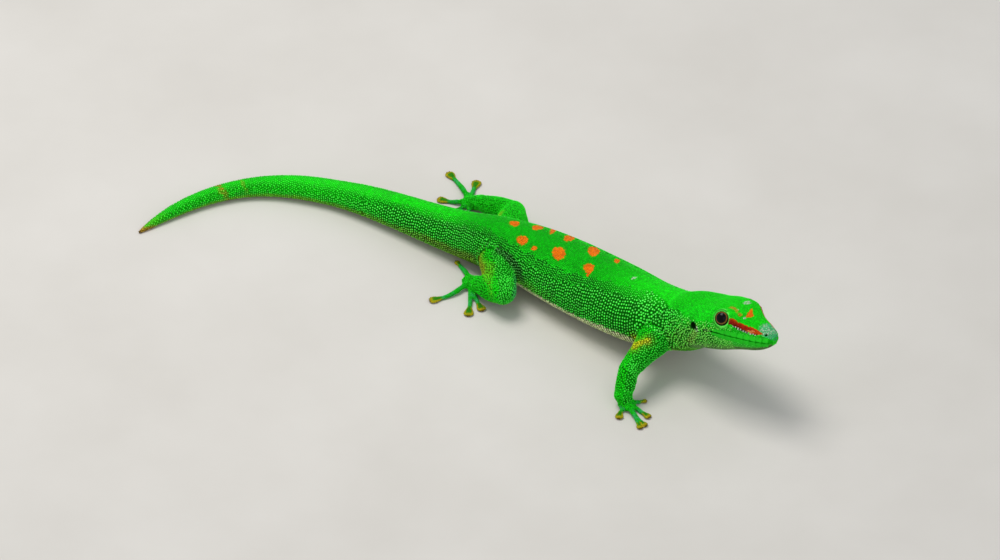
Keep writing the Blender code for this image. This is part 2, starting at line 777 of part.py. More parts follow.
def trim_foot(foot):
    """Cuts a foot flat where it stands."""
    bm = bmesh.new()
    bm.from_mesh(foot.data)
    cut_flat(bm, Vector((0, 0, 0)), Vector((0, 0, 1)))
    bm.to_mesh(foot.data)
    bm.free()


build()
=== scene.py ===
"""Madagascar giant day gecko: one skin over the whole animal, a coat of small raised scales, and glossy eyes.

Shapes are worked out in millimetres along one body axis, as in the solids, and scaled by MM when a mesh is
made. A place on the body is its distance from the vent, positive towards the snout, and its turn round the
section: 0 on the left side, 90 degrees on top of the back, 180 on the right side, 270 underneath.
"""

import functools
import json
import math

import bmesh
import bpy
import numpy as np
from mathutils import Matrix, Vector, noise
from mathutils.bvhtree import BVHTree
from mathutils.kdtree import KDTree

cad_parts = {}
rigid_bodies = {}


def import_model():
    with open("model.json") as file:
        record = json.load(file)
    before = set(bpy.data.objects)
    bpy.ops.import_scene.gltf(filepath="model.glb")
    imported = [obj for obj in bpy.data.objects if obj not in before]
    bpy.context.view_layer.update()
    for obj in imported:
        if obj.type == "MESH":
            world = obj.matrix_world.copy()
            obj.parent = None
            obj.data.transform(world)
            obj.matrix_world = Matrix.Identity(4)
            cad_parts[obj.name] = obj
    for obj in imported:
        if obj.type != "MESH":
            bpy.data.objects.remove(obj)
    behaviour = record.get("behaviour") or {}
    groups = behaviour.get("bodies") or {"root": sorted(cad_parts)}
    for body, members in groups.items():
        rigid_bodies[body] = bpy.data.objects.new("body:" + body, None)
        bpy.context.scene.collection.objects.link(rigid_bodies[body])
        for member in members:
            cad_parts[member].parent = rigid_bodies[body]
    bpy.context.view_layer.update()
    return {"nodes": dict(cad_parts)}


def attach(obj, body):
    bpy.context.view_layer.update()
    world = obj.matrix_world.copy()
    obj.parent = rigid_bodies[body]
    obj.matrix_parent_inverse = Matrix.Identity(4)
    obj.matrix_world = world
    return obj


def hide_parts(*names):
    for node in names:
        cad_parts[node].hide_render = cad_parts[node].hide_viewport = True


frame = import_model()

MM = 0.001
CENTRE_SHIFT = (15.5, 10.64)

# Body axis
VENT = (-11.8, 15.05)
SNOUT = 140.8
TAIL_TIP = -128.0
AXIS_STEP = 0.5
HEAD_TIP = (93.1, -73.4, 34.0)
HEAD_HEADING = -45.5
HEAD_PITCH = 11.0
HEAD_ROLL = -9.5
HEAD_SCALE = 0.965
MOUTH_RISE = 0.012
HEAD_BLEND = (101.0, 114.0)
HEAD_MEET = (96.0, 116.0)

# Distance from the vent, heading in degrees, height of the axis above the floor
POSTURE = (
    (-128.0, 42.0, 0.5),
    (-119.0, 39.0, 1.6),
    (-108.0, 33.0, 2.3),
    (-97.0, 24.5, 2.7),
    (-87.0, 12.8, 3.0),
    (-77.0, -0.4, 3.4),
    (-67.0, -11.0, 3.9),
    (-57.0, -18.4, 4.3),
    (-46.0, -25.5, 4.9),
    (-32.0, -31.3, 5.7),
    (-15.0, -33.3, 6.7),
    (0.0, -31.5, 7.9),
    (12.0, -31.2, 9.2),
    (24.0, -34.8, 9.9),
    (36.0, -40.8, 10.7),
    (50.0, -41.5, 11.7),
    (69.0, -42.6, 13.5),
    (80.0, -40.3, 14.8),
    (89.0, -37.8, 16.8),
    (97.0, -39.4, 19.8),
    (104.0, -44.0, 23.1),
    (110.0, -45.5, 25.8),
    (117.0, -45.5, 28.5),
    (140.8, -45.5, 34.0),
)

# Distance from the vent, half width, rise above the axis, depth below it, squareness above and below
TRUNK = (
    (-128.0, 0.35, 0.35, 0.35, 2.0, 2.0),
    (-126.5, 0.75, 0.7, 0.7, 2.0, 2.0),
    (-123.3, 1.3, 1.2, 1.25, 2.0, 2.0),
    (-119.0, 1.8, 1.7, 1.7, 2.0, 2.0),
    (-112.0, 2.45, 2.35, 2.25, 2.0, 2.0),
    (-102.0, 2.95, 2.85, 2.6, 2.0, 2.0),
    (-91.0, 3.3, 3.15, 2.95, 2.0, 2.1),
    (-82.0, 3.65, 3.55, 3.3, 2.0, 2.1),
    (-72.0, 4.1, 3.95, 3.75, 2.0, 2.1),
    (-61.0, 4.6, 4.4, 4.2, 2.0, 2.1),
    (-53.0, 4.85, 4.6, 4.55, 2.0, 2.1),
    (-39.0, 5.8, 5.5, 5.35, 2.0, 2.1),
    (-26.0, 6.6, 6.2, 6.1, 2.0, 2.1),
    (-12.0, 7.5, 7.0, 6.9, 2.0, 2.15),
    (0.0, 8.6, 7.9, 7.6, 2.0, 2.2),
    (12.5, 10.3, 9.4, 8.2, 2.0, 2.3),
    (25.0, 11.9, 10.2, 8.5, 2.0, 2.35),
    (38.0, 13.2, 10.9, 9.3, 2.0, 2.35),
    (48.0, 13.7, 11.1, 9.9, 2.0, 2.35),
    (60.0, 13.8, 11.0, 10.7, 2.0, 2.3),
    (70.0, 13.4, 11.1, 11.1, 2.0, 2.25),
    (80.0, 12.4, 10.9, 11.3, 2.0, 2.2),
    (89.0, 11.0, 10.4, 11.2, 2.0, 2.1),
    (97.0, 10.2, 9.3, 11.1, 2.0, 2.1),
    (104.0, 10.1, 8.4, 11.0, 2.0, 2.1),
    (110.0, 10.5, 8.0, 10.6, 2.0, 2.1),
)

# Distance back from the snout, half width at the mouth line, rise above it, depth below it, squareness
HEAD = (
    (0.0, 0.0, 0.0, 0.0, 2.0, 2.0),
    (0.25, 1.45, 1.46, 0.74, 2.0, 2.0),
    (1.0, 2.6, 2.84, 1.56, 2.0, 2.0),
    (2.5, 3.85, 4.0, 2.8, 2.0, 2.1),
    (5.0, 5.2, 5.1, 4.3, 2.05, 2.15),
    (8.0, 6.4, 6.12, 5.38, 2.15, 2.2),
    (11.0, 7.4, 7.04, 6.16, 2.25, 2.2),
    (14.0, 8.3, 7.86, 7.04, 2.3, 2.2),
    (18.0, 9.3, 8.52, 8.48, 2.3, 2.15),
    (22.0, 10.0, 8.48, 10.02, 2.25, 2.1),
    (26.0, 10.6, 7.94, 11.16, 2.15, 2.1),
    (30.0, 10.8, 7.2, 11.9, 2.05, 2.1),
    (34.0, 10.4, 7.16, 12.04, 2.0, 2.1),
    (40.0, 10.2, 8.6, 11.2, 2.0, 2.1),
)

# Swellings and hollows of the head: distance back, sideways, above the mouth line, height, spread
HEAD_FORMS = (
    (15.2, 6.8, 7.5, 1.25, 2.6),
    (18.6, 8.1, 5.7, 0.6, 2.6),
    (22.6, 6.9, 7.2, 0.55, 2.9),
    (10.0, 6.4, 3.8, -0.45, 2.6),
    (5.5, 0.0, 5.22, -0.1, 1.8),
    (2.1, 2.7, 3.38, 0.22, 0.9),
    (27.0, 10.4, 2.58, 0.45, 4.0),
    (24.5, 9.4, -2.02, 0.3, 3.5),
)

# Mouth, eyes, ears and nostrils, on the head's own scale
MOUTH_END = 24.4
MOUTH_FADE = 2.2
GROOVE_DEPTH = 0.5
GROOVE_WIDTH = 0.34
EYE = (18.6, 7.95, 5.5)
FAR_EYE_SHIFT = (-0.5, -0.4, -0.6)
EYE_LOOK = (0.4, 0.84, 0.36)
EYE_RADIUS = 2.85
EYE_OPENING = 2.33
LID_RING = 2.72
LID_THICK = 0.42
ORBIT_THICK = 0.65
ORBIT_FRONT = 1.45
LID_BOWL = 3.0
LID_BOWL_OUT = 1.9
EAR = (29.8, 10.7, -0.1)
EAR_HALF = (1.05, 1.2, 0.98)
NOSTRIL = (1.9, 2.75, 3.25)
NOSTRIL_RADIUS = 0.46

# Limbs: hip or shoulder, bend, ankle or wrist, then the radii at those three and the swelling between
LIMBS = {
    "foreleg_right": (
        ((54.0, -46.0, 14.4), (43.8, -61.0, 11.4), (41.9, -65.9, 4.4)),
        (6.7, 3.6, 3.3),
        (4.7, 3.6),
    ),
    "foreleg_left": (
        ((60.6, -37.0, 14.4), (68.4, -26.6, 9.0), (76.6, -29.4, 4.0)),
        (5.2, 3.5, 3.0),
        (4.2, 3.4),
    ),
    "hindleg_right": (
        ((-1.6, 4.4, 9.4), (0.9, -16.7, 9.2), (-7.3, -7.6, 4.3)),
        (6.6, 4.8, 3.1),
        (6.2, 4.7),
    ),
    "hindleg_left": (
        ((4.0, 13.8, 9.0), (4.5, 27.8, 6.8), (-6.4, 37.0, 3.9)),
        (6.4, 4.6, 3.0),
        (5.8, 4.2),
    ),
}

# Feet: palm, then each toe's tip, the bend of its shaft to one side, and the half width of its pad
FEET = {
    "foreleg_right": (
        (43.0, -67.2),
        (
            ((40.4, -74.4), -0.7, 1.65),
            ((47.7, -79.5), 0.6, 1.35),
            ((49.9, -78.0), -0.7, 1.35),
            ((51.1, -73.7), 0.5, 1.5),
            ((50.2, -64.5), 0.2, 1.1),
        ),
    ),
    "foreleg_left": (
        (78.6, -29.6),
        (
            ((77.0, -19.2), -0.4, 1.6),
            ((83.2, -19.4), 0.4, 1.65),
            ((88.6, -23.0), 0.4, 1.65),
            ((89.0, -30.6), 0.3, 1.6),
            ((82.6, -36.0), 0.2, 1.1),
        ),
    ),
    "hindleg_right": (
        (-10.2, -2.6),
        (
            ((-15.3, 9.6), -0.5, 1.25),
            ((-24.6, -11.8), 1.7, 1.85),
            ((-11.0, -20.2), 0.4, 1.95),
            ((-5.8, -17.4), -0.6, 1.8),
            ((-2.4, -11.6), -0.4, 1.5),
        ),
    ),
    "hindleg_left": (
        (-10.4, 40.2),
        (
            ((-18.3, 57.9), -0.8, 1.9),
            ((-7.7, 53.4), 0.4, 1.95),
            ((-22.0, 43.4), 0.6, 1.8),
            ((-18.0, 35.6), 0.3, 1.6),
            ((-11.6, 33.4), 0.2, 1.1),
        ),
    ),
}
PALM_HALF = (3.4, 3.2, 1.95)
WRIST_END = 2.5
PALM_LIFT = 0.72
TOE_ROOT = 1.05
TOE_WAIST = 0.9
PAD_RISE = 0.62
TOE_START = 1.5

# How finely the skin is laid out
BODY_AROUND = 112
LIMB_AROUND = 36
TOE_AROUND = 16
MOUTH_CROWDING = 0.5

# The skin lies this far inside the solids, and the scales fill the rest
COAT_DEPTH = 0.24
LID_DEPTH = 0.05
FLOOR_LEVEL = 0.02
SKIN_FLOOR = 0.14
EYE_GAP = 0.08

# Colours, as linear red, green and blue
BACK = (0.001, 0.50, 0.002)
BRIGHT = (0.006, 0.80, 0.004)
FLANK = (0.006, 0.82, 0.008)
LIME = (0.16, 0.66, 0.012)
OLIVE = (0.12, 0.22, 0.01)
BELLY = (0.50, 0.55, 0.20)
FRINGE = (0.84, 1.0, 0.46)
UNDER_TAIL = (0.24, 0.40, 0.01)
THROAT = (0.13, 0.34, 0.07)
CHEEK = (0.04, 0.84, 0.035)
TEAL = (0.07, 0.56, 0.20)
YELLOW = (0.75, 0.78, 0.01)
ORANGE = (1.0, 0.19, 0.0)
RED = (0.46, 0.014, 0.001)
DARK_RED = (0.20, 0.006, 0.001)
STRIPE_FLECK = (0.90, 0.34, 0.10)
OCHRE = (0.50, 0.30, 0.012)
BROWN = (0.16, 0.07, 0.008)
PAD_RIM = (0.60, 0.46, 0.01)
PALE = (0.62, 0.70, 0.55)
PALE_LIME = (0.42, 0.92, 0.10)
LID = (0.13, 0.86, 0.09)
# Painted shade of the groove round the lids
LID_GROOVE_SHADE = (0.012, 0.38, 0.010)
CHEEK_LIGHT = (0.22, 1.0, 0.07)
SHADOW = (0.002, 0.03, 0.002)

# Orange spots: distance from the vent, turn in degrees, two half axes as steps in millimetres and degrees
SPOTS = (
    (18.6, 76.3, (1.34, -4.8), (1.15, 9.8)),
    (26.5, 63.8, (1.19, -9.2), (1.41, 10.8)),
    (30.7, 50.2, (-0.40, -12.9), (2.41, 19.4)),
    (38.6, 58.0, (0.50, -11.5), (2.30, 13.6)),
    (50.8, 64.8, (0.95, -8.9), (2.86, 14.4)),
    (61.0, 62.5, (0.43, -5.0), (1.50, 7.5)),
    (26.4, 110.0, (1.94, -3.6), (1.24, 8.2)),
    (33.1, 115.9, (1.02, -2.0), (0.64, 3.6)),
    (42.6, 104.5, (2.09, -5.0), (2.07, 10.3)),
    (56.7, 104.6, (1.76, -4.2), (1.55, 7.5)),
)
SPOT_POINT = (57.4, 106.0)

# Marks by distance from the vent and turn in degrees, with DEGREE millimetres taken for a degree of turn
DEGREE = 0.12
PATCH_CORNERS = ((127.3, 80.7), (130.4, 94.7), (129.4, 107.3))
OCHRE_LINE = ((122.0, 108.0), (123.5, 106.0), (125.5, 110.0), (127.5, 114.5))
# End of the mouth line, where the crease is darkened with painted shade
MOUTH_TAIL = ((119.2, 181.5), (118.0, 179.5), (117.0, 179.5), (115.8, 181.5))
BELOW_EAR = ((112.5, 183.0), (111.5, 192.0), (108.5, 206.0), (105.5, 214.0))
PALE_MARKS = ((123.6, 73.0, 1.3), (125.0, 105.5, 0.35), (129.2, 115.0, 0.4), (73.8, 85.0, 0.7))
EAR_MARK = (112.7, 184.0)

# Folds of skin at the armpit, the thighs and the far knee, as places in millimetres
ARMPIT = (
    (46.1, -45.3, 12.4), (46.6, -46.5, 11.4), (45.8, -55.0, 16.4), (46.8, -53.6, 17.0), (48.3, -53.8, 17.6),
    (50.2, -53.4, 18.0),
)
THIGH_FOLD = (-3.8, -10.5, 12.8)
# Line of the crease between the near thigh and the belly, darkened with painted shade
THIGH_CREASE_SHADE = (
    (-0.5, -2.6, 15.6), (2.7, -6.1, 15.0), (4.5, -8.2, 14.5), (6.2, -10.8, 13.4), (6.8, -12.5, 11.5),
)
LEFT_KNEE_FOLD = (-2.0, 22.5, 11.5)

# Seam where the tail grew again, and its brownish bands: distance, half width and strength
TAIL_SEAM = -38.5
TAIL_BANDS = ((-93.4, 1.1, 0.85), (-85.4, 0.6, 0.3))

# Stripe from the eye to the nostril: distances, with its middle and half width there in degrees off the top
STRIPE_AT = (125.0, 128.5, 131.0, 133.5, 135.5, 137.4)
STRIPE_MIDDLE = (53.0, 53.0, 52.0, 49.0, 48.0, 45.5)
STRIPE_HALF = (8.0, 7.5, 8.8, 10.5, 9.5, 3.0)
STRIPE_DOTS = 0.92

# Spacing of the scales on the back, at its edge, on the flanks and below, by distance from the vent
BACK_PITCH = (
    (-128, 0.74), (-90, 0.84), (-50, 0.74), (-20, 0.7), (0, 0.62), (60, 0.6), (100, 0.54), (118, 0.46),
    (141, 0.46),
)
EDGE_PITCH = (
    (-128, 0.74), (-90, 0.84), (-50, 0.86), (-20, 0.9), (0, 0.82), (20, 0.8), (60, 0.88), (95, 0.86),
    (110, 0.7), (141, 0.55),
)
FLANK_PITCH = (
    (-128, 0.74), (-90, 0.86), (-50, 0.96), (-20, 1.1), (2, 0.94), (14, 0.92), (40, 1.04), (70, 1.14),
    (92, 1.2), (106, 0.94), (118, 0.84), (130, 0.7), (141, 0.56),
)
BELLY_PITCH = ((-128, 0.6), (-90, 0.85), (-20, 1.1), (10, 1.25), (92, 1.25), (108, 0.8), (141, 0.62))

# Where the scales of the edge, flanks and belly start, in degrees off the top of the back
EDGE_FROM = (
    (-128, 34), (-66, 48), (-40, 34), (-20, 12), (0, 6), (8, 14), (18, 30), (30, 38), (50, 38), (62, 26),
    (73, 18), (84, 8), (92, 14), (100, 38), (106, 60), (112, 72), (141, 60),
)
FAR_EDGE_FROM = (
    (-128, 34), (-66, 48), (-40, 40), (0, 34), (30, 42), (100, 42), (106, 60), (112, 72), (141, 60),
)
FLANK_FROM = (
    (-128, 62), (-66, 74), (-40, 56), (-20, 34), (0, 26), (8, 32), (18, 48), (30, 56), (50, 56), (62, 44),
    (73, 36), (84, 26), (92, 32), (100, 56), (106, 76), (112, 88), (122, 98), (141, 96),
)
FAR_FLANK_FROM = (
    (-128, 62), (-66, 74), (-40, 60), (0, 56), (30, 60), (100, 60), (106, 76), (112, 88), (122, 98),
    (141, 96),
)
BELLY_FROM = (
    (-128, 126), (-4, 124), (6, 101), (20, 99), (34, 104), (60, 105), (72, 101), (80, 103), (90, 118),
    (98, 132), (112, 138), (141, 132),
)
FLANK_HEIGHT = (
    (-128, 0.2), (-80, 0.26), (-20, 0.42), (95, 0.44), (108, 0.34), (120, 0.24), (141, 0.12),
)

# Distances where the painted shade at the rims of the beads changes, the tail's own beads end, and the neck's
# begin and end, and the lips
RIM_SHADE_AT = (-80, -36, -22)
TAIL_START = -30.0
NECK_START = 84.0
NECK_END = 127.0
LIP_HIGH = 1.7

# Rings of scales on the lids: radius, number, half size, height and colour; the outer two have painted shade
# of the groove round the lids
LID_RINGS = ((2.6, 32, 0.22, 0.08, LID), (2.98, 36, 0.28, 0.12, LID_GROOVE_SHADE), (3.36, 38, 0.32, 0.12, LID_GROOVE_SHADE))

# Size of a scale's patch on the bake, and the colour of the painted highlight that its crown catches
PATCH = 0.003
# Painted highlight colour added to each scale's crown
GLINT = np.array((0.8, 1.0, 0.7))

# Pieces of the coat along the body, by the distance where each ends
LENGTHS = (
    ("coat_tail_tip", -92.0),
    ("coat_tail_fore", -58.0),
    ("coat_tail_mid", -27.0),
    ("coat_tail_base", 3.0),
    ("coat_torso_rear", 33.0),
    ("coat_torso_middle", 63.0),
    ("coat_torso_fore", 93.0),
    ("coat_neck", 108.5),
    ("coat_head_rear", 120.0),
    ("coat_head_front", 200.0),
)

# Camera: degrees down, distance off in millimetres, pixels across, and pixels to a millimetre at its aim
VIEW_ELEVATION = 40.0
VIEW_DISTANCE = 4000.0
VIEW_PIXELS = 1000.0
VIEW_SCALE = 2.9

random_draws = np.random.default_rng(7)


def cubic(rows, at):
    """The columns of a table of stations at one place, on a smooth curve through them."""
    last = len(rows) - 1
    if at <= rows[0][0]:
        return rows[0][1:]
    if at >= rows[last][0]:
        return rows[last][1:]
    i = 0
    while rows[i + 1][0] < at:
        i += 1
    x0, x1 = rows[i][0], rows[i + 1][0]
    width = x1 - x0
    t = (at - x0) / width
    found = []
    for c in range(1, len(rows[0])):
        y0, y1 = rows[i][c], rows[i + 1][c]
        slope = (y1 - y0) / width
        before = slope if i == 0 else (y0 - rows[i - 1][c]) / (x0 - rows[i - 1][0])
        after = slope if i + 1 == last else (rows[i + 2][c] - y1) / (rows[i + 2][0] - x1)
        m0 = 0.0 if before * slope <= 0 else 2 * before * slope / (before + slope)
        m1 = 0.0 if after * slope <= 0 else 2 * after * slope / (after + slope)
        h00 = (1 + 2 * t) * (1 - t) ** 2
        h10 = t * (1 - t) ** 2
        h01 = t * t * (3 - 2 * t)
        h11 = t * t * (t - 1)
        found.append(h00 * y0 + h10 * width * m0 + h01 * y1 + h11 * width * m1)
    return tuple(found)


def smoothstep(low, high, at):
    t = min(max((at - low) / (high - low), 0.0), 1.0)
    return t * t * (3 - 2 * t)


def walk_axis():
    """Points of the body axis every AXIS_STEP, from the vent forwards and backwards."""
    points = {0: Vector((VENT[0], VENT[1], cubic(POSTURE, 0.0)[1]))}
    for direction, end in ((1, SNOUT), (-1, TAIL_TIP)):
        steps = math.ceil(abs(end) / AXIS_STEP)
        for i in range(steps):
            here = direction * i * AXIS_STEP
            there = direction * (i + 1) * AXIS_STEP
            heading = math.radians(cubic(POSTURE, (here + there) / 2)[0])
            rise = cubic(POSTURE, there)[1] - cubic(POSTURE, here)[1]
            level = math.sqrt(max(AXIS_STEP**2 - rise**2, 0.0)) * direction
            move = Vector((level * math.cos(heading), level * math.sin(heading), rise))
            points[direction * (i + 1)] = points[direction * i] + move
    return points


AXIS = walk_axis()


def head_axes():
    """Forward, left and up directions of the head."""
    heading = math.radians(HEAD_HEADING)
    pitch = math.radians(HEAD_PITCH)
    roll = math.radians(HEAD_ROLL)
    level = Vector((math.cos(heading), math.sin(heading), 0.0))
    left = Vector((-math.sin(heading), math.cos(heading), 0.0))
    forward = level * math.cos(pitch) + Vector((0.0, 0.0, math.sin(pitch)))
    upward = forward.cross(left)
    tilted = left * math.cos(roll) + upward * math.sin(roll)
    return forward, tilted, forward.cross(tilted)


def head_share(s):
    return smoothstep(HEAD_MEET[0], HEAD_MEET[1], s)


def axis_point(s):
    i = s / AXIS_STEP
    low = max(min(math.floor(i), max(AXIS) - 1), min(AXIS))
    walked = AXIS[low].lerp(AXIS[low + 1], i - low)
    share = head_share(s)
    if share <= 0:
        return walked
    forward, _, upward = head_axes()
    back = (SNOUT - s) * HEAD_SCALE
    return walked.lerp(Vector(HEAD_TIP) - forward * back + upward * back * MOUTH_RISE, share)


def frame_at(s):
    """Forward, left and up directions of the section at s."""
    heading = math.radians(cubic(POSTURE, s)[0])
    ahead = axis_point(min(s + 1.0, SNOUT)) - axis_point(s - 1.0 if s > TAIL_TIP + 1.0 else s)
    pitch = math.asin(ahead.z / ahead.length)
    level = Vector((math.cos(heading), math.sin(heading), 0.0))
    left = Vector((-math.sin(heading), math.cos(heading), 0.0))
    forward = level * math.cos(pitch) + Vector((0.0, 0.0, math.sin(pitch)))
    share = head_share(s)
    if share > 0:
        ahead, aside, _ = head_axes()
        forward = forward.lerp(ahead, share).normalized()
        left = left.lerp(aside, share)
        left = (left - forward * left.dot(forward)).normalized()
    return forward, left, forward.cross(left)


def section_sizes(s):
    """Half width, rise, depth and squareness above and below, at s."""
    trunk = cubic(TRUNK, s)
    share = smoothstep(HEAD_BLEND[0], HEAD_BLEND[1], s)
    if share <= 0:
        return trunk
    rows = [(math.sqrt(row[0]),) + row[1:] for row in HEAD]
    head = cubic(rows, math.sqrt(max(SNOUT - s, 0.0)))
    head = tuple(size * HEAD_SCALE for size in head[:3]) + head[3:]
    return tuple(a * (1 - share) + b * share for a, b in zip(trunk, head))


def body_ring(s, around):
    """The points of one section of the body, for all its turns at once."""
    half, rise, depth, square_up, square_down = section_sizes(s)
    back = SNOUT - s
    cosine = np.cos(around)
    sine = np.sin(around)
    square = np.where(sine >= 0, square_up, square_down)
    reach = np.where(sine >= 0, rise, depth)
    x = half * np.copysign(np.abs(cosine) ** (2 / square), cosine)
    z = reach * np.copysign(np.abs(sine) ** (2 / square), sine)
    if s > HEAD_BLEND[0] - 6.0:
        out_x = x / max(half, 0.1)
        out_z = z / np.maximum(reach, 0.1)
        size = np.maximum(np.hypot(out_x, out_z), 1e-9)
        push = np.zeros_like(x)
        for b, w, h, height, spread in HEAD_FORMS:
            for side in (1.0, -1.0) if w > 0 else (1.0,):
                away = (back - b) ** 2 + (x / HEAD_SCALE - side * w) ** 2 + (z / HEAD_SCALE - h) ** 2
                push += height * np.exp(-away / (2 * spread**2))
        push *= min(1.0, back / 1.5)
        closed = 1 - smoothstep(MOUTH_END - MOUTH_FADE, MOUTH_END, back)
        narrow = min(1.0, half / 3.0)
        push -= GROOVE_DEPTH * closed * narrow * np.exp(-((z / GROOVE_WIDTH) ** 2))
        x = x + out_x / size * push
        z = z + out_z / size * push
    nose = np.zeros_like(x)
    if s > 130:
        over = np.maximum(z, 0.0)
        nose = 0.8 * over / (over + 1.0) * math.exp(-((back / 2.2) ** 2))
    forward, left, upward = (np.array(v) for v in frame_at(s))
    return np.array(axis_point(s)) + x[:, None] * left + z[:, None] * upward + nose[:, None] * forward


def head_place(place):
    """A point of the head from its distance back, sideways and above the line of the mouth."""
    back, side, above = (size * HEAD_SCALE for size in place)
    forward, left, upward = head_axes()
    return Vector(HEAD_TIP) - forward * back + left * side + upward * (above + back * MOUTH_RISE)


def on_head(place, side):
    """A place of the head on its left (side 1) or its right (side -1)."""
    return head_place((place[0], side * place[1], place[2]))


class Sheet:
    """A closed tube of rings. A place on it is its distance along, in millimetres, and its turn around."""

    def __init__(self, name, along, around, points, tips):
        self.name = name
        self.along = np.array(along, float)
        self.around = np.array(around, float)
        self.points = np.array(points, float)
        self.tips = tips

    def sample(self, along, around):
        """Points, outward normals and forward directions at many places."""
        along = np.asarray(along, float)
        turn = np.mod(around, 2 * math.pi)
        i = np.clip(np.searchsorted(self.along, along) - 1, 0, len(self.along) - 2)
        j = np.clip(np.searchsorted(self.around, turn, side="right") - 1, 0, len(self.around) - 1)
        after = (j + 1) % len(self.around)
        span = np.where(after == 0, 2 * math.pi - self.around[j], self.around[after] - self.around[j])
        f = ((along - self.along[i]) / (self.along[i + 1] - self.along[i]))[:, None]
        g = ((turn - self.around[j]) / span)[:, None]
        p = self.points
        low = p[i, j] * (1 - g) + p[i, after] * g
        high = p[i + 1, j] * (1 - g) + p[i + 1, after] * g
        ahead = unit(high - low)
        across = (p[i, after] - p[i, j]) * (1 - f) + (p[i + 1, after] - p[i + 1, j]) * f
        return low * (1 - f) + high * f, unit(np.cross(across, ahead)), ahead

    def grid(self):
        """Every laid out place, as distances along and turns around."""
        return np.repeat(self.along, len(self.around)), np.tile(self.around, len(self.along))

    def tube(self):
        """One closed mesh: a grid rolled up, and drawn to a point at each end."""
        rings = [np.tile(self.tips[0], (len(self.around), 1))]
        rings += list(self.points)
        rings += [np.tile(self.tips[1], (len(self.around), 1))]
        rows, columns = len(rings), len(self.around)
        bm = bmesh.new()
        bmesh.ops.create_grid(bm, x_segments=rows - 1, y_segments=columns, size=1.0)
        for v in bm.verts:
            i = round((v.co.x + 1) / 2 * (rows - 1))
            j = round((v.co.y + 1) / 2 * columns) % columns
            v.co = rings[i][j]
        bmesh.ops.remove_doubles(bm, verts=bm.verts[:], dist=1e-4)
        bmesh.ops.recalc_face_normals(bm, faces=bm.faces[:])
        return bm


def unit(vectors):
    return vectors / np.maximum(np.linalg.norm(vectors, axis=-1, keepdims=True), 1e-12)


def even_turns(count):
    return np.arange(count) * 2 * math.pi / count


def body_sheet():
    """Tail, torso, neck and head in one, with the columns drawn together along the lips."""
    around = even_turns(BODY_AROUND)
    around = around - MOUTH_CROWDING / 2 * np.sin(2 * around)
    stations = list(np.arange(TAIL_TIP + 0.25, 100.0, 1.0))
    reach = math.sqrt(SNOUT - 100.0)
    stations += [SNOUT - (reach * (1 - i / 118)) ** 2 for i in range(118)]
    stations = [s for s in stations if s < SNOUT - 0.1]
    points = [body_ring(s, around) for s in stations]
    tips = (np.array(axis_point(TAIL_TIP)), np.array(axis_point(SNOUT) - frame_at(SNOUT)[0] * 0.15))
    return Sheet("body", stations, around, points, tips)


def straight_frame(a, b):
    axis = (b - a).normalized()
    side = axis.orthogonal().normalized()
    return axis, side, axis.cross(side).normalized()


def limb_sheet(name, a, b, radius_a, radius_b, swell):
    """A limb's length with round ends, thickest where its muscle is."""
    axis, side, other = straight_frame(a, b)
    length = (b - a).length
    around = even_turns(LIMB_AROUND)
    stations = []
    for angle in range(-78, 0, 12):
        t = math.radians(angle)
        stations.append((radius_a * math.sin(t), radius_a * math.cos(t)))
    count = max(4, round(length / 0.7))
    for i in range(count + 1):
        t = i / count
        bulge = (swell - (radius_a + radius_b) / 2) * math.sin(math.pi * t) ** 2
        stations.append((length * t, radius_a * (1 - t) + radius_b * t + bulge))
    for angle in range(12, 80, 12):
        t = math.radians(angle)
        stations.append((length + radius_b * math.sin(t), radius_b * math.cos(t)))
    round_ring = np.outer(np.cos(around), np.array(side)) + np.outer(np.sin(around), np.array(other))
    points = [np.array(a + axis * along) + round_ring * radius for along, radius in stations]
    tips = (np.array(a - axis * radius_a), np.array(b + axis * radius_b))
    return Sheet(name, [along for along, _ in stations], around, points, tips)


def palm_sheet(name, centre, facing):
    """The flattened ball of the palm."""
    around = even_turns(LIMB_AROUND)
    across = Vector((-facing.y, facing.x, 0.0))
    stations = [math.radians(angle) for angle in range(-80, 81, 10)]
    points = []
    for t in stations:
        ring = np.outer(np.cos(around) * PALM_HALF[1], np.array(across))
        ring += np.outer(np.sin(around) * PALM_HALF[2], np.array((0.0, 0.0, 1.0)))
        points.append(np.array(centre + facing * PALM_HALF[0] * math.sin(t)) + ring * math.cos(t))
    tips = (np.array(centre - facing * PALM_HALF[0]), np.array(centre + facing * PALM_HALF[0]))
    return Sheet(name, [PALM_HALF[0] * math.sin(t) for t in stations], around, points, tips)


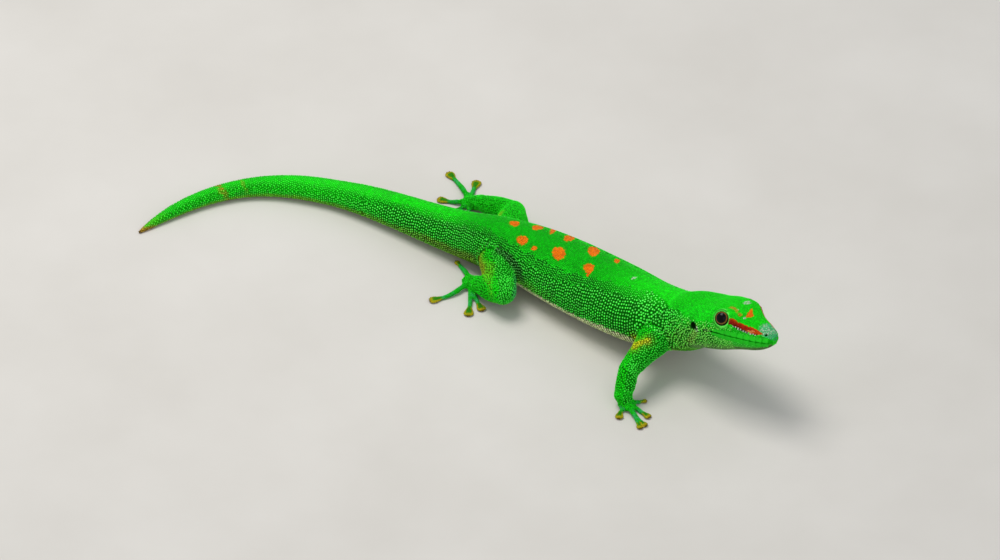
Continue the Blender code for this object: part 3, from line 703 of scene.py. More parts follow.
def toe_sheet(name, root, tip, bend, pad):
    """A slim shaft that lies on the floor and widens into a rounded pad."""
    start = Vector((root[0], root[1], TOE_START))
    run = Vector((tip[0] - root[0], tip[1] - root[1], 0.0))
    length = run.length
    along = run.normalized()
    across = Vector((-along.y, along.x, 0.0))
    waist = 1 - pad * 2.7 / length
    shape = (
        (0.0, 1.5, 1.25),
        (0.22, 1.25, 1.1),
        (0.5 * waist + 0.1, TOE_ROOT, 0.95),
        (waist, TOE_WAIST, 0.82),
        (waist + (1 - waist) * 0.3, pad * 0.7, 0.76),
        (waist + (1 - waist) * 0.55, pad * 0.95, 0.72),
        (waist + (1 - waist) * 0.72, pad, 0.68),
        (waist + (1 - waist) * 0.86, pad * 0.86, 0.58),
        (waist + (1 - waist) * 0.96, pad * 0.52, 0.42),
    )
    stations = [shape[-1][0] * math.sin(math.pi / 2 * i / 30) for i in range(31)]
    around = even_turns(TOE_AROUND)
    points = []
    for t in stations:
        width, height = cubic(shape, t)
        settle = smoothstep(0.0, 1.0, t / max(waist, 0.1))
        middle = start + along * length * t + across * bend * math.sin(math.pi * t)
        middle.z = start.z * (1 - settle) + PAD_RISE * settle + 0.35 * math.sin(math.pi * min(t / waist, 1.0))
        drift = (along + across * (bend * math.pi * math.cos(math.pi * t) / length)).normalized()
        wide = Vector((-drift.y, drift.x, 0.0))
        ring = np.outer(np.cos(around) * width, np.array(wide))
        ring += np.outer(np.sin(around) * height, np.array((0.0, 0.0, 1.0)))
        points.append(np.array(middle) + ring)
    end = start + along * length
    end.z = PAD_RISE
    sheet = Sheet(name, [t * length for t in stations], around, points, (np.array(start), np.array(end)))
    sheet.waist = waist * length
    sheet.length = length
    return sheet


def limb_sheets():
    """The sheets of each leg, from the thigh or upper arm to the toes."""
    legs = {}
    for name, (places, radii, swells) in LIMBS.items():
        a, b, c = (Vector(place) for place in places)
        palm, toes = FEET[name]
        palm_at = Vector((palm[0], palm[1], PALM_HALF[2] * PALM_LIFT))
        facing = Vector((palm_at.x - c.x, palm_at.y - c.y, 0.0)).normalized()
        wrist = (radii[2] + WRIST_END) / 2
        sheets = [
            limb_sheet(name + "_upper", a, b, radii[0], radii[1], swells[0]),
            limb_sheet(name + "_lower", b, c, radii[1], radii[2], swells[1]),
            limb_sheet(name + "_wrist", c, palm_at, radii[2], WRIST_END, wrist),
            palm_sheet(name + "_palm", palm_at, facing),
        ]
        for i, (tip, bend, pad) in enumerate(toes):
            sheets.append(toe_sheet(f"{name}_toe_{i + 1}", palm, tip, bend, pad))
        legs[name] = sheets
    return legs


# Colour at a place


def mix(first, second, share):
    """Blends colours point by point."""
    share = np.clip(share, 0.0, 1.0)[:, None]
    return np.asarray(first) * (1 - share) + np.asarray(second) * share


def rise(low, high, at):
    t = np.clip((at - low) / (high - low), 0.0, 1.0)
    return t * t * (3 - 2 * t)


def blotch(points, size, seed=0.0):
    """Soft noise from -1 to 1 at each point, with patches about this many millimetres across."""
    return np.array([noise.noise(Vector((p[0], p[1], p[2] + seed)) / size) for p in points])


def degrees_off_top(turn):
    """How far turns are from the top of the back, in degrees."""
    return np.abs((np.degrees(np.mod(turn, 2 * math.pi)) - 90 + 180) % 360 - 180)


def inside(flat, corners):
    """How far places lie inside a shape with these corners, in millimetres, negative outside."""
    ring = np.array(corners) * (1.0, DEGREE)
    depth = np.full(len(flat), np.inf)
    for a, b in zip(ring, np.roll(ring, -1, axis=0)):
        along = (b - a) / np.linalg.norm(b - a)
        off = (flat[:, 1] - a[1]) * along[0] - (flat[:, 0] - a[0]) * along[1]
        depth = np.minimum(depth, off)
    return depth


def off_line(flat, marks):
    """How far places lie from a line through these marks, in millimetres."""
    return off_path(flat, np.array(marks) * (1.0, DEGREE))


def off_path(points, marks):
    """How far points lie from a path through these marks, in millimetres."""
    away = np.full(len(points), np.inf)
    for a, b in zip(np.array(marks[:-1]), np.array(marks[1:])):
        along = np.clip((points - a) @ (b - a) / ((b - a) @ (b - a)), 0.0, 1.0)
        away = np.minimum(away, np.linalg.norm(points - a - along[:, None] * (b - a), axis=1))
    return away


def yellow_fold(tint, points, fine):
    """The yellow skin of the fold behind the right foreleg."""
    away = off_path(points, ARMPIT) + 0.3 * fine
    tint = mix(tint, LIME, (1 - rise(1.0, 4.0, away)) * 0.8)
    return mix(tint, YELLOW, (1 - rise(0.5, 1.7, away)) * 0.95)


def body_tint(s, turn, points):
    """The markings of the tail, torso, neck and head."""
    degrees = np.degrees(np.mod(turn, 2 * math.pi))
    off_top = degrees_off_top(turn)
    wander = blotch(points, 5.0)
    fine = blotch(points, 1.3, 40.0)

    tint = np.tile(BACK, (len(s), 1))
    bright = 1 - rise(-6.0, 6.0, s) * (1 - rise(58.0, 82.0, s))
    tint = mix(tint, BRIGHT, bright * 0.85)
    tint = mix(tint, FLANK, rise(22.0, 50.0, off_top + 5 * wander) * rise(-70.0, -20.0, s) * 0.9)
    tint = mix(tint, LIME, rise(108.0, 124.0, off_top + 6 * wander) * 0.6)
    vent = rise(-24.0, -10.0, s) * (1 - rise(8.0, 13.0, s)) * rise(78.0, 96.0, off_top + 6 * wander)
    tint = mix(tint, UNDER_TAIL, vent * 0.8)
    groin = rise(8.0, 16.0, s) * (1 - rise(30.0, 52.0, s)) * rise(76.0, 96.0, off_top + 8 * wander)
    tint = mix(tint, LIME, groin * 0.75)
    tint = mix(tint, OLIVE, rise(98.0, 118.0, off_top) * rise(0.25, 0.6, fine) * (1 - rise(95, 105, s)) * 0.6)
    low_edge = np.interp(s, (2, 8, 24, 34, 60, 72, 80, 90), (108, 96, 95, 101, 102, 98, 100, 122))
    fringe = rise(0.0, 7.0, off_top - low_edge + 3 * wander + 3 * fine) * rise(9.0, 15.0, s)
    tint = mix(tint, FRINGE, fringe * (1 - rise(88, 96, s)))
    tint = mix(tint, BELLY, rise(134.0, 146.0, off_top) * (1 - rise(90.0, 98.0, s)))
    tint = tint * (1 + 0.18 * rise(-84.0, -66.0, s) * (1 - rise(-42.0, -26.0, s)))[:, None]
    tail = 1 - rise(-10.0, 0.0, s)
    tint = mix(tint, LIME, rise(88.0, 106.0, off_top + 6 * wander + 5 * fine) * tail)
    tint = mix(tint, BELLY, rise(126.0, 140.0, off_top) * tail * 0.8)

    tint = yellow_fold(tint, points, fine)
    # Painted shade in the crease between the near thigh and the belly
    tint = mix(tint, tint * 0.3, 1 - rise(0.8, 2.6, off_path(points, THIGH_CREASE_SHADE) + 0.4 * fine))

    head = rise(104.0, 112.0, s)
    neck = rise(90.0, 100.0, s) * (1 - head)
    tint = mix(tint, LIME, neck * rise(85.0, 105.0, off_top) * rise(-0.3, 0.5, wander) * 0.6)
    tint = mix(tint, CHEEK, head * rise(88.0, 100.0, off_top) * 0.7)
    tint = mix(tint, THROAT, rise(118.0, 132.0, off_top) * rise(96.0, 106.0, s))
    nose = rise(134.6, 136.2, s + 0.6 * fine) * (1 - rise(46.0, 56.0, off_top))
    tint = mix(tint, TEAL, nose * 0.9)
    frost = nose * rise(-0.1, 0.3, blotch(points, 0.6, 70.0))
    tint = mix(tint, PALE, frost * (1 - rise(138.6, 140.2, s)) * 0.7)

    # Stripe from the eye to the nostril, on both sides, and the dots along its lower edge
    centre = np.interp(s, STRIPE_AT, STRIPE_MIDDLE)
    half = np.interp(s, STRIPE_AT, STRIPE_HALF)
    within = (s > 124.6) & (s < 137.4) & (np.abs(off_top - centre) < half + 0.8 * fine)
    lower = (off_top - centre) / half
    stripe = mix(np.tile(RED, (len(s), 1)), DARK_RED, rise(-0.2, 0.8, lower) * (1 - rise(128.0, 131.0, s)))
    stripe = mix(stripe, ORANGE, rise(132.5, 136.5, s) * 0.35)
    stripe = mix(stripe, ORANGE, rise(0.3, 0.9, -lower) * 0.3)
    flecks = rise(0.1, 0.3, fine) * rise(130.5, 133.0, s) * rise(-0.4, 0.3, lower)
    stripe = mix(stripe, STRIPE_FLECK, flecks * 0.7)
    tint = np.where(within[:, None], stripe, tint)
    below = (np.abs(off_top - centre - half - 2.6 - 0.8 * fine) < 2.4) & (s > 127.0) & (s < 136.6)
    beat = np.sin(2 * math.pi * s / STRIPE_DOTS)
    tint = np.where((below & (beat > 0.15))[:, None], PALE, tint)
    tint = np.where((below & (beat < -0.1))[:, None], SHADOW, tint)

    # Patch on the snout, the ochre line by the eye, and pale marks beside them
    flat = np.c_[s, degrees * DEGREE]
    ragged = 0.2 * blotch(points, 0.8, 90.0)
    patch = inside(flat, PATCH_CORNERS) + ragged > -0.25
    tint = np.where(patch[:, None], ORANGE, tint)
    away = off_line(flat, OCHRE_LINE)
    tint = mix(tint, OCHRE, (1 - rise(0.3, 0.65, away + ragged)) * rise(-0.45, 0.1, fine) * 0.9)
    worn = rise(-0.35, 0.1, blotch(points, 0.45, 33.0))
    for at, across, size in PALE_MARKS:
        away = np.hypot(s - at, (degrees - across) * DEGREE) / size
        tint = mix(tint, PALE, (1 - rise(0.7, 1.1, away + ragged)) * worn * 0.85)
    away = off_line(flat, BELOW_EAR)
    tint = mix(tint, PALE_LIME, (1 - rise(0.5, 1.5, away + 0.2 * fine)) * (off_top > 80) * 0.85)
    away = np.hypot(s - EAR_MARK[0], (degrees - EAR_MARK[1]) * DEGREE)
    tint = mix(tint, PALE, (1 - rise(0.4, 0.9, away)) * 0.8)

    # End of the mouth, drawn on as a crease of painted shade
    away = off_line(flat, MOUTH_TAIL)
    tint = mix(tint, tint * 0.18, (1 - rise(0.15, 0.45, away)) * (off_top > 70))

    # Spots of the back
    edge = 0.14 * blotch(points, 1.2, 90.0)
    orange = mix(np.tile(ORANGE, (len(s), 1)), OCHRE, np.full(len(s), 0.12))
    for at, across, first_half, second_half in SPOTS:
        halves = np.array((first_half, second_half)).T
        gone = np.linalg.norm(np.linalg.solve(halves, np.stack((s - at, degrees - across))), axis=0)
        tint = np.where((gone + edge < 1.0)[:, None], orange, tint)
    down = degrees - SPOT_POINT[1]
    pointed = np.abs(s - SPOT_POINT[0] - down * 0.11) < 1.8 - down * 0.13
    pointed &= (degrees > 104.0) & (degrees < 120.0)
    tint = np.where(pointed[:, None], ORANGE, tint)

    # Tail bands and tip
    for at, half_band, strength in TAIL_BANDS:
        middle = at + (degrees - 130.0) * 0.014 + 0.5 * blotch(points, 1.6, 77.0)
        band = 1 - rise(half_band * 0.5, half_band * 1.3, np.abs(s - middle) + 0.5 * fine)
        band = band * rise(-0.5, 0.1, blotch(points, 1.0, 66.0)) * (1 - 0.5 * rise(30.0, 70.0, off_top))
        tint = mix(tint, OCHRE, band * strength)
        tint = mix(tint, BROWN, band * strength * rise(0.0, 0.5, blotch(points, 0.8, 60.0)) * 0.7)
    tint = mix(tint, LIME, (1 - rise(-124.0, -114.0, s + fine)) * 0.5)
    tint = mix(tint, OCHRE, 1 - rise(-124.6, -121.6, s - (off_top - 70) * 0.035 + fine))
    return mix(tint, BROWN, (1 - rise(-127.6, -126.2, s)) * 0.8)


def limb_tint(name, points, normals):
    """The colours of the upper and lower limbs and of the palm, by the way the surface faces."""
    fine = blotch(points, 1.3, 20.0)
    wander = blotch(points, 4.0, 10.0)
    tint = np.tile(BRIGHT, (len(points), 1)) * 0.9
    if name.startswith("hindleg_right"):
        tint = mix(tint, FLANK, rise(-0.5, 0.2, normals[:, 0]))
        if name.endswith("_upper"):
            rear = -normals[:, 0] + 0.15 * wander
            tint = mix(tint, LIME, rise(0.62, 0.9, rear) * rise(5.0, 8.0, points[:, 2]))
            tint = mix(tint, OCHRE, rise(0.8, 1.0, rear) * rise(6.0, 9.0, points[:, 2]) * 0.5)
        tint = mix(tint, TEAL, rise(0.75, 0.98, normals[:, 0] - 0.2 * normals[:, 1]) * 0.55)
        fold = np.linalg.norm((points - np.array(THIGH_FOLD)) * (1.0, 0.6, 0.8), axis=1)
        tint = mix(tint, LIME, (1 - rise(1.0, 3.6, fold + 0.8 * wander)) * 0.7)
        # Painted shade in the crease between the thigh and the belly
        tint = mix(tint, tint * 0.35, 1 - rise(0.6, 2.2, off_path(points, THIGH_CREASE_SHADE) + 0.4 * fine))
    elif name.startswith("hindleg_left"):
        crease = np.linalg.norm(points - np.array(LEFT_KNEE_FOLD), axis=1)
        tint = mix(tint, YELLOW, (1 - rise(1.5, 4.0, crease + wander)) * 0.6)
        tint = mix(tint * 1.1, FLANK, rise(-0.1, 0.4, normals[:, 1]) * 0.4)
    elif name.startswith("foreleg_right"):
        tint = mix(tint, FLANK, rise(-0.4, 0.1, normals[:, 0]))
        tint = yellow_fold(tint, points, fine)
    return mix(tint, LIME, rise(0.45, 0.85, -normals[:, 2]) * 0.6)


def toe_tint(sheet, along, turn, points):
    """Green shafts with teal on their tops, and green pads with yellow and brown rims."""
    fine = blotch(points, 0.9, 15.0)
    pad = rise(sheet.waist, sheet.waist + 1.4, along)
    tint = np.tile(BRIGHT, (len(along), 1)) * 0.72
    tint = mix(tint, TEAL, rise(1.5, sheet.waist, along) * (1 - pad) * rise(-0.3, 0.3, fine) * 0.7)
    green = mix(np.tile(BRIGHT, (len(along), 1)) * 0.4, OLIVE, 0.35 + 0.5 * fine)
    tint = mix(tint, green, pad * 0.9)
    side = rise(0.42, 0.8, np.abs(np.cos(turn)))
    end = rise(sheet.length - 1.9, sheet.length - 0.8, along)
    rim = np.clip(side + end, 0.0, 1.0)
    tint = mix(tint, PAD_RIM, rim * pad * (0.85 + 0.3 * fine))
    tint = mix(tint, BROWN, rise(sheet.length - 0.7, sheet.length - 0.1, along + 0.3 * fine) * 0.75)
    return mix(tint, BROWN, rise(0.15, 0.6, -np.sin(turn)) * pad * 0.5)


def tint_of(sheet, along, turn, points, normals):
    if sheet.name == "body":
        return body_tint(along, turn, points)
    if "_toe_" in sheet.name:
        return toe_tint(sheet, along, turn, points)
    return limb_tint(sheet.name, points, normals)


def painted_skin_shade(sheet, along, turn):
    """The painted shade of the skin between the scales: deep between the beads, hardly at all on the back."""
    if sheet.name == "body":
        off_top = degrees_off_top(turn)
        shade = 0.75 - 0.6 * rise(12.0, 40.0, off_top)
        smooth = rise(100.0, 108.0, along) * (1 - rise(78.0, 92.0, off_top) * (1 - rise(118.0, 126.0, along)))
        shade += 0.25 * (1 - rise(-70.0, -20.0, along)) * rise(12.0, 40.0, off_top)
        return shade * (1 - smooth) + 0.6 * smooth
    if "_toe_" in sheet.name:
        return np.full(len(along), 0.6)
    return np.full(len(along), 0.25)


# Skin


def new_object(name, bm):
    """An object in metres from a bmesh in millimetres."""
    shift = Vector((CENTRE_SHIFT[0], CENTRE_SHIFT[1], 0.0))
    for v in bm.verts:
        v.co = (v.co + shift) * MM
    return plain_object(name, bm, bpy.context.scene.collection)


def plain_object(name, bm, collection):
    mesh = bpy.data.meshes.new(name)
    bm.to_mesh(mesh)
    bm.free()
    obj = bpy.data.objects.new(name, mesh)
    collection.objects.link(obj)
    return obj


def combine(obj, bms, operation):
    """Joins closed shapes to an object, or takes them out of it, and applies the result."""
    others = bpy.data.collections.new(obj.name + "_pieces")
    bpy.context.scene.collection.children.link(others)
    for i, bm in enumerate(bms):
        plain_object(f"{obj.name}_{operation}_{i}", bm, others)
    change = obj.modifiers.new(operation, "BOOLEAN")
    change.operation = operation
    change.operand_type = "COLLECTION"
    change.collection = others
    change.solver = "MANIFOLD"
    bpy.context.view_layer.update()
    made = bpy.data.meshes.new_from_object(obj.evaluated_get(bpy.context.evaluated_depsgraph_get()))
    old = obj.data
    obj.modifiers.clear()
    obj.data = made
    bpy.data.meshes.remove(old)
    for other in list(others.objects):
        bpy.data.objects.remove(other)
    bpy.data.collections.remove(others)


def ball(radius, centre, segments=32, rings=20, scale=None, turn=None):
    bm = bmesh.new()
    bmesh.ops.create_uvsphere(bm, u_segments=segments, v_segments=rings, radius=radius)
    if scale:
        bmesh.ops.scale(bm, vec=Vector(scale), verts=bm.verts)
    if turn:
        bmesh.ops.transform(bm, matrix=turn.to_4x4(), verts=bm.verts)
    bmesh.ops.translate(bm, vec=centre, verts=bm.verts)
    return bm


def torus(major, minor, centre, axis, around=56, across=16):
    """A ring round an axis: a small circle spun about it."""
    side = axis.orthogonal().normalized()
    bm = bmesh.new()
    made = bmesh.ops.create_circle(bm, segments=across, radius=minor)
    place = Matrix((side, axis, side.cross(axis))).transposed().to_4x4()
    place.translation = centre + side * major
    bmesh.ops.transform(bm, matrix=place, verts=made["verts"])
    bmesh.ops.spin(
        bm, geom=bm.verts[:] + bm.edges[:], cent=centre, axis=axis, angle=2 * math.pi,
        steps=around, use_merge=True,
    )
    bmesh.ops.recalc_face_normals(bm, faces=bm.faces[:])
    return bm


def look_of(side):
    """Where an eye sits and looks: its centre, the middle of its opening and its direction."""
    forward, left, upward = head_axes()
    look = forward * EYE_LOOK[0] + left * side * EYE_LOOK[1] + upward * EYE_LOOK[2]
    look.normalize()
    shift = FAR_EYE_SHIFT if side > 0 else (0.0, 0.0, 0.0)
    middle = head_place((EYE[0] + shift[0], side * (EYE[1] + shift[1]), EYE[2] + shift[2]))
    inset = math.sqrt(EYE_RADIUS**2 - EYE_OPENING**2)
    return middle - look * inset, middle, look


def orbit(centre, look):
    """The rounded rim of the eye socket: a ball round the eye, cut flat behind the opening of the lids."""
    turn = look.to_track_quat("Z", "Y").to_matrix()
    bm = ball(EYE_RADIUS + ORBIT_THICK, centre, 48, 32, turn=turn)
    cut = bmesh.ops.bisect_plane(
        bm, geom=bm.verts[:] + bm.edges[:] + bm.faces[:], dist=1e-5,
        plane_co=centre + look * ORBIT_FRONT, plane_no=-look, clear_inner=True,
    )
    edges = [e for e in cut["geom_cut"] if isinstance(e, bmesh.types.BMEdge) and e.is_boundary]
    bmesh.ops.holes_fill(bm, edges=edges, sides=0)
    bmesh.ops.recalc_face_normals(bm, faces=bm.faces[:])
    return bm


def near_features(p):
    """How close a point is to an eye, from 0 away from both to 1 at the lids."""
    share = 0.0
    for side in (1, -1):
        _, middle, _ = look_of(side)
        share = max(share, 1 - smoothstep(LID_RING + 0.5, LID_RING + 1.6, (p - middle).length))
    return share


def keep_largest(bm):
    """Leaves only the largest of the closed surfaces."""
    left_over = set(bm.verts)
    groups = []
    while left_over:
        group = {left_over.pop()}
        front = set(group)
        while front:
            front = {e.other_vert(v) for v in front for e in v.link_edges} - group
            group |= front
        left_over -= group
        groups.append(group)
    largest = max(groups, key=len)
    bmesh.ops.delete(bm, geom=[v for v in bm.verts if v not in largest], context="VERTS")


def smooth_creases(bm):
    """Softens the creases where limbs meet the body and each other, and round the eye sockets."""
    forward, _, _ = head_axes()
    throat = head_place((41.0, 0.0, 0.0))
    middles = [look_of(side)[1] for side in (1, -1)]

    def may_move(co):
        off_eye = min((co - middle).length for middle in middles)
        if off_eye < LID_RING + LID_THICK + 0.1 or co.z < 0.4:
            return False
        return off_eye < 5.5 or (co - throat).dot(forward) < 0

    chosen = set()
    for edge in bm.edges:
        if len(edge.link_faces) == 2 and edge.calc_face_angle_signed(0.0) < -math.radians(18):
            if all(may_move(v.co) for v in edge.verts):
                chosen.update(edge.verts)
    near = set(chosen)
    for _ in range(3):
        near |= {e.other_vert(v) for v in near for e in v.link_edges}
    verts = [v for v in near if may_move(v.co)]
    for _ in range(10):
        bmesh.ops.smooth_vert(bm, verts=verts, factor=0.5, use_axis_x=True, use_axis_y=True, use_axis_z=True)


def build_skin(sheets):
    """One closed skin over the whole animal, with sockets, ears and nostrils, inset by the coat's depth."""
    holder = bpy.context.scene.collection
    skin = plain_object("gecko_skin", sheets[0].tube(), holder)
    pieces = [sheet.tube() for sheet in sheets[1:]]
    for side in (1, -1):
        centre, middle, look = look_of(side)
        pieces.append(torus(LID_RING, LID_THICK, middle - look * 0.1, look))
        pieces.append(orbit(centre, look))
    combine(skin, pieces, "UNION")
    axes = Matrix(head_axes()).transposed()
    cuts = []
    for side in (1, -1):
        centre, middle, look = look_of(side)
        turn = look.to_track_quat("Z", "Y").to_matrix()
        cuts.append(ball(EYE_RADIUS + EYE_GAP, centre, 48, 32, turn=turn))
        cuts.append(ball(LID_BOWL, middle + look * LID_BOWL_OUT, 48, 32, turn=turn))
        cuts.append(ball(1.0, on_head(EAR, side), scale=EAR_HALF, turn=axes))
        cuts.append(ball(NOSTRIL_RADIUS, on_head(NOSTRIL, side), 16, 10))
    combine(skin, cuts, "DIFFERENCE")

    bm = bmesh.new()
    bm.from_mesh(skin.data)
    bmesh.ops.remove_doubles(bm, verts=bm.verts[:], dist=0.004)
    keep_largest(bm)
    smooth_creases(bm)
    bm.normal_update()
    moves = []
    head_reach = (Vector(HEAD_TIP) - head_place((40.0, 0.0, 0.0))).length
    for v in bm.verts:
        depth = COAT_DEPTH
        if (v.co - Vector(HEAD_TIP)).length < head_reach:
            depth += (LID_DEPTH - COAT_DEPTH) * near_features(v.co)
        moves.append(v.normal * depth)
    for v, move in zip(bm.verts, moves):
        v.co -= move
        v.co.z = max(v.co.z, SKIN_FLOOR)
    bm.normal_update()
    tree = BVHTree.FromBMesh(bm)
    laid = laid_out(sheets)
    colour_skin(bm, laid)
    bm.verts.index_update()
    corners = np.array([[loop.vert.index for loop in loops] for loops in bm.calc_loop_triangles()])
    places = np.array([v.co[:] for v in bm.verts])
    outward = np.array([v.normal[:] for v in bm.verts])
    nearest = np.array([laid[0].find(middle)[1] for middle in places[corners].mean(axis=1)])
    surface = (places[corners], outward[corners], nearest)
    mesh = skin.data
    bpy.data.objects.remove(skin)
    bpy.data.meshes.remove(mesh)
    skin = new_object("gecko_skin", bm)
    skin.data.shade_smooth()
    return skin, tree, surface, laid


def laid_out(sheets):
    """All the laid out places, each with its sheet's number, its place on the sheet and its tint with painted
    shade between scales, and a tree to find the nearest."""
    places, owners, alongs, turns, tints = [], [], [], [], []
    for k, sheet in enumerate(sheets):
        along, turn = sheet.grid()
        points = sheet.points.reshape(-1, 3)
        _, normals, _ = sheet.sample(along, turn)
        tint = tint_of(sheet, along, turn, points, normals)
        places.append(points)
        owners.append(np.full(len(along), k))
        alongs.append(along)
        turns.append(turn)
        # The markings darkened by painted shade between the scales
        tints.append(tint * painted_skin_shade(sheet, along, turn)[:, None])
    places = np.concatenate(places)
    tree = KDTree(len(places))
    for i, p in enumerate(places):
        tree.insert(p, i)
    tree.balance()
    return tree, np.concatenate(owners), np.concatenate(alongs), np.concatenate(turns), np.concatenate(tints)


def colour_skin(bm, laid):
    """Gives each point of the skin the marking of the nearest laid out place, darkened by painted shade
    between scales.
    """
    tree, _, _, _, tints = laid
    layer = bm.verts.layers.float_color.new("tint")
    for v in bm.verts:
        _, i, _ = tree.find(v.co)
        v[layer] = (*tints[i], 1.0)
    paint_features(bm, layer)


def paint_features(bm, layer):
    """Lids, and painted shadow in the insides of the ears, nostrils and eye sockets."""
    axes = head_axes()
    for side in (1, -1):
        centre, middle, look = look_of(side)
        ear = on_head(EAR, side)
        nostril = on_head(NOSTRIL, side)
        for v in bm.verts:
            away = v.co - middle
            if away.length > 30.0:
                continue
            flat = (away - look * away.dot(look)).length
            if away.length < LID_RING + 0.75:
                v[layer] = (*LID, 1.0)
                if flat < EYE_OPENING - 0.05 or (v.co - centre).length < EYE_RADIUS + 0.16:
                    v[layer] = (*SHADOW, 1.0)
            off = v.co - ear
            scaled = Vector([off.dot(axis) / half for axis, half in zip(axes, EAR_HALF)])
            if scaled.length < 1.35:
                v[layer] = (*SHADOW, 1.0)
            if (v.co - nostril).length < NOSTRIL_RADIUS + 0.3:
                v[layer] = (*SHADOW, 1.0)


# Coat


def points_and_faces(bm):
    bm.verts.index_update()
    points = np.array([v.co[:] for v in bm.verts])
    faces = np.array([[v.index for v in f.verts] for f in bm.faces])
    bm.free()
    return points, faces


def scale_shape(segments, shoulder, crown):
    """One low domed scale, a unit across its half width and a unit high, with its root below the skin."""
    bm = bmesh.new()
    bmesh.ops.create_cone(
        bm, cap_ends=True, cap_tris=False, segments=segments, radius1=1.0, radius2=shoulder, depth=crown,
    )
    bmesh.ops.translate(bm, vec=Vector((0, 0, crown / 2)), verts=bm.verts)
    top = [f for f in bm.faces if f.calc_center_median().z > crown - 1e-6]
    bmesh.ops.poke(bm, faces=top, offset=1.0 - crown)
    bmesh.ops.triangulate(bm, faces=bm.faces[:])
    bmesh.ops.recalc_face_normals(bm, faces=bm.faces[:])
    return points_and_faces(bm)


BEAD = scale_shape(7, 0.7, 0.6)
PLATE = scale_shape(6, 0.84, 0.72)


def lip_shape():
    """A long rounded plate of the lip, in the same units as a scale."""
    bm = bmesh.new()
    bmesh.ops.create_cube(bm, size=2.0)
    bmesh.ops.scale(bm, vec=Vector((1, 1, 0.35)), verts=bm.verts)
    bmesh.ops.translate(bm, vec=Vector((0, 0, 0.35)), verts=bm.verts)
    uprights = [e for e in bm.edges if abs(e.verts[0].co.z - e.verts[1].co.z) > 0.5]
    bmesh.ops.bevel(
        bm, geom=uprights, offset=0.45, offset_type="OFFSET", affect="EDGES", segments=3, profile=0.5,
        material=-1,
    )
    top = [f for f in bm.faces if f.normal.z > 0.9]
    bmesh.ops.inset_region(bm, faces=top, thickness=0.3, depth=0.3)
    bmesh.ops.triangulate(bm, faces=bm.faces[:])
    bmesh.ops.recalc_face_normals(bm, faces=bm.faces[:])
    return points_and_faces(bm)


LIP = lip_shape()


class Coat:
    """Scales gathered for one piece of the coat."""

    def __init__(self, name):
        self.name = name
        self.batches = []

    def add(
        self, shape, place, normal, ahead, half_long, half_wide, height, tint, roots, lift=0.0, painted_rim_shade=0.4,
        glint=0.02,
    ):
        """Adds scales at these places. lift raises the rear edge; rims get painted shade, crowns a painted
        highlight.
        """
        points, faces = shape
        count = len(place)
        if not count:
            return
        ahead = unit(ahead - normal * (ahead * normal).sum(1)[:, None])
        leaned = unit(normal + ahead * np.asarray(lift).reshape(-1, 1))
        ahead = unit(ahead - leaned * (ahead * leaned).sum(1)[:, None])
        across = np.cross(leaned, ahead)
        local = points[None]
        world = place[:, None]
        for k, way, half in ((0, ahead, half_long), (1, across, half_wide), (2, leaned, height)):
            reach = np.broadcast_to(half, (count, 1))[:, None]
            world = world + way[:, None] * (local[..., k, None] * reach)
        world[..., 2] = np.maximum(world[..., 2], FLOOR_LEVEL)
        raised = points[:, 2].clip(0, 1)
        painted_rim_shade = np.asarray(painted_rim_shade).reshape(-1, 1)
        # Painted shade darkens each scale from its crown down to its rim; the crown gets a painted highlight
        # and glint.
        shade = painted_rim_shade + (1 - painted_rim_shade) * raised**1.2
        crown = (raised > 0.99) * (1 - painted_rim_shade)
        colour = tint[:, None] * (shade + 0.35 * crown)[..., None] + (glint * crown)[..., None] * GLINT
        patch = roots[:, None] + local[..., :2] * PATCH / 2
        flat = (colour.reshape(-1, 3), patch.reshape(-1, 2))
        self.batches.append((world.reshape(-1, 3), faces, len(points), count, *flat))

    def make(self, material):
        """One object of all the scales, with their tints and their places on the bake."""
        points, faces, colours, patches = [], [], [], []
        base = 0
        for world, shape_faces, size, count, colour, patch in self.batches:
            starts = base + np.arange(count) * size
            faces.append((shape_faces[None] + starts[:, None, None]).reshape(-1, 3))
            points.append(world)
            colours.append(colour)
            patches.append(patch)
            base += count * size
        points = np.concatenate(points)
        faces = np.concatenate(faces)
        colours = np.concatenate(colours)
        patches = np.concatenate(patches)
        shift = np.array((CENTRE_SHIFT[0], CENTRE_SHIFT[1], 0.0))
        mesh = bpy.data.meshes.new(self.name)
        mesh.from_pydata(((points + shift) * MM).tolist(), [], faces.tolist())
        layer = mesh.attributes.new("tint", "FLOAT_COLOR", "POINT")
        layer.data.foreach_set("color", np.c_[colours, np.ones(len(colours))].ravel())
        corners = np.empty(len(mesh.loops), np.int32)
        mesh.loops.foreach_get("vertex_index", corners)
        bake = mesh.uv_layers.new(name="OFBake")
        bake.uv.foreach_set("vector", patches[corners].ravel())
        mesh.shade_smooth()
        mesh.materials.append(material)
        obj = bpy.data.objects.new(self.name, mesh)
        bpy.context.scene.collection.objects.link(obj)
        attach(obj, "root")
        return obj


def rows_on(sheet, pitch, low, high, band, phase=0):
    """Staggered rows of places on part of a sheet, with the size of each. pitch and band say, for a distance
    along, how far apart the scales are and between which turns they lie."""
    found = []
    at, k = low, phase
    while at < high:
        size = pitch(at)
        first, last = band(at)
        marks = np.linspace(first, last, 49)
        ring, _, _ = sheet.sample(np.full(49, at), marks)
        reach = np.concatenate([[0.0], np.cumsum(np.linalg.norm(np.diff(ring, axis=0), axis=1))])
        count = max(1, round(reach[-1] / size))
        where = (np.arange(count) + (0.25 if k % 2 else 0.75)) / count * reach[-1]
        turns = np.interp(where, reach, marks)
        shift = random_draws.uniform(-0.11, 0.11, (2, count)) * size
        turns = turns + shift[0] * (last - first) / max(reach[-1], 1e-6)
        found.append(np.c_[np.clip(at + shift[1], low, high), turns, np.full(count, size)])
        at += size * 0.87
        k += 1
    return np.concatenate(found) if found else np.zeros((0, 3))


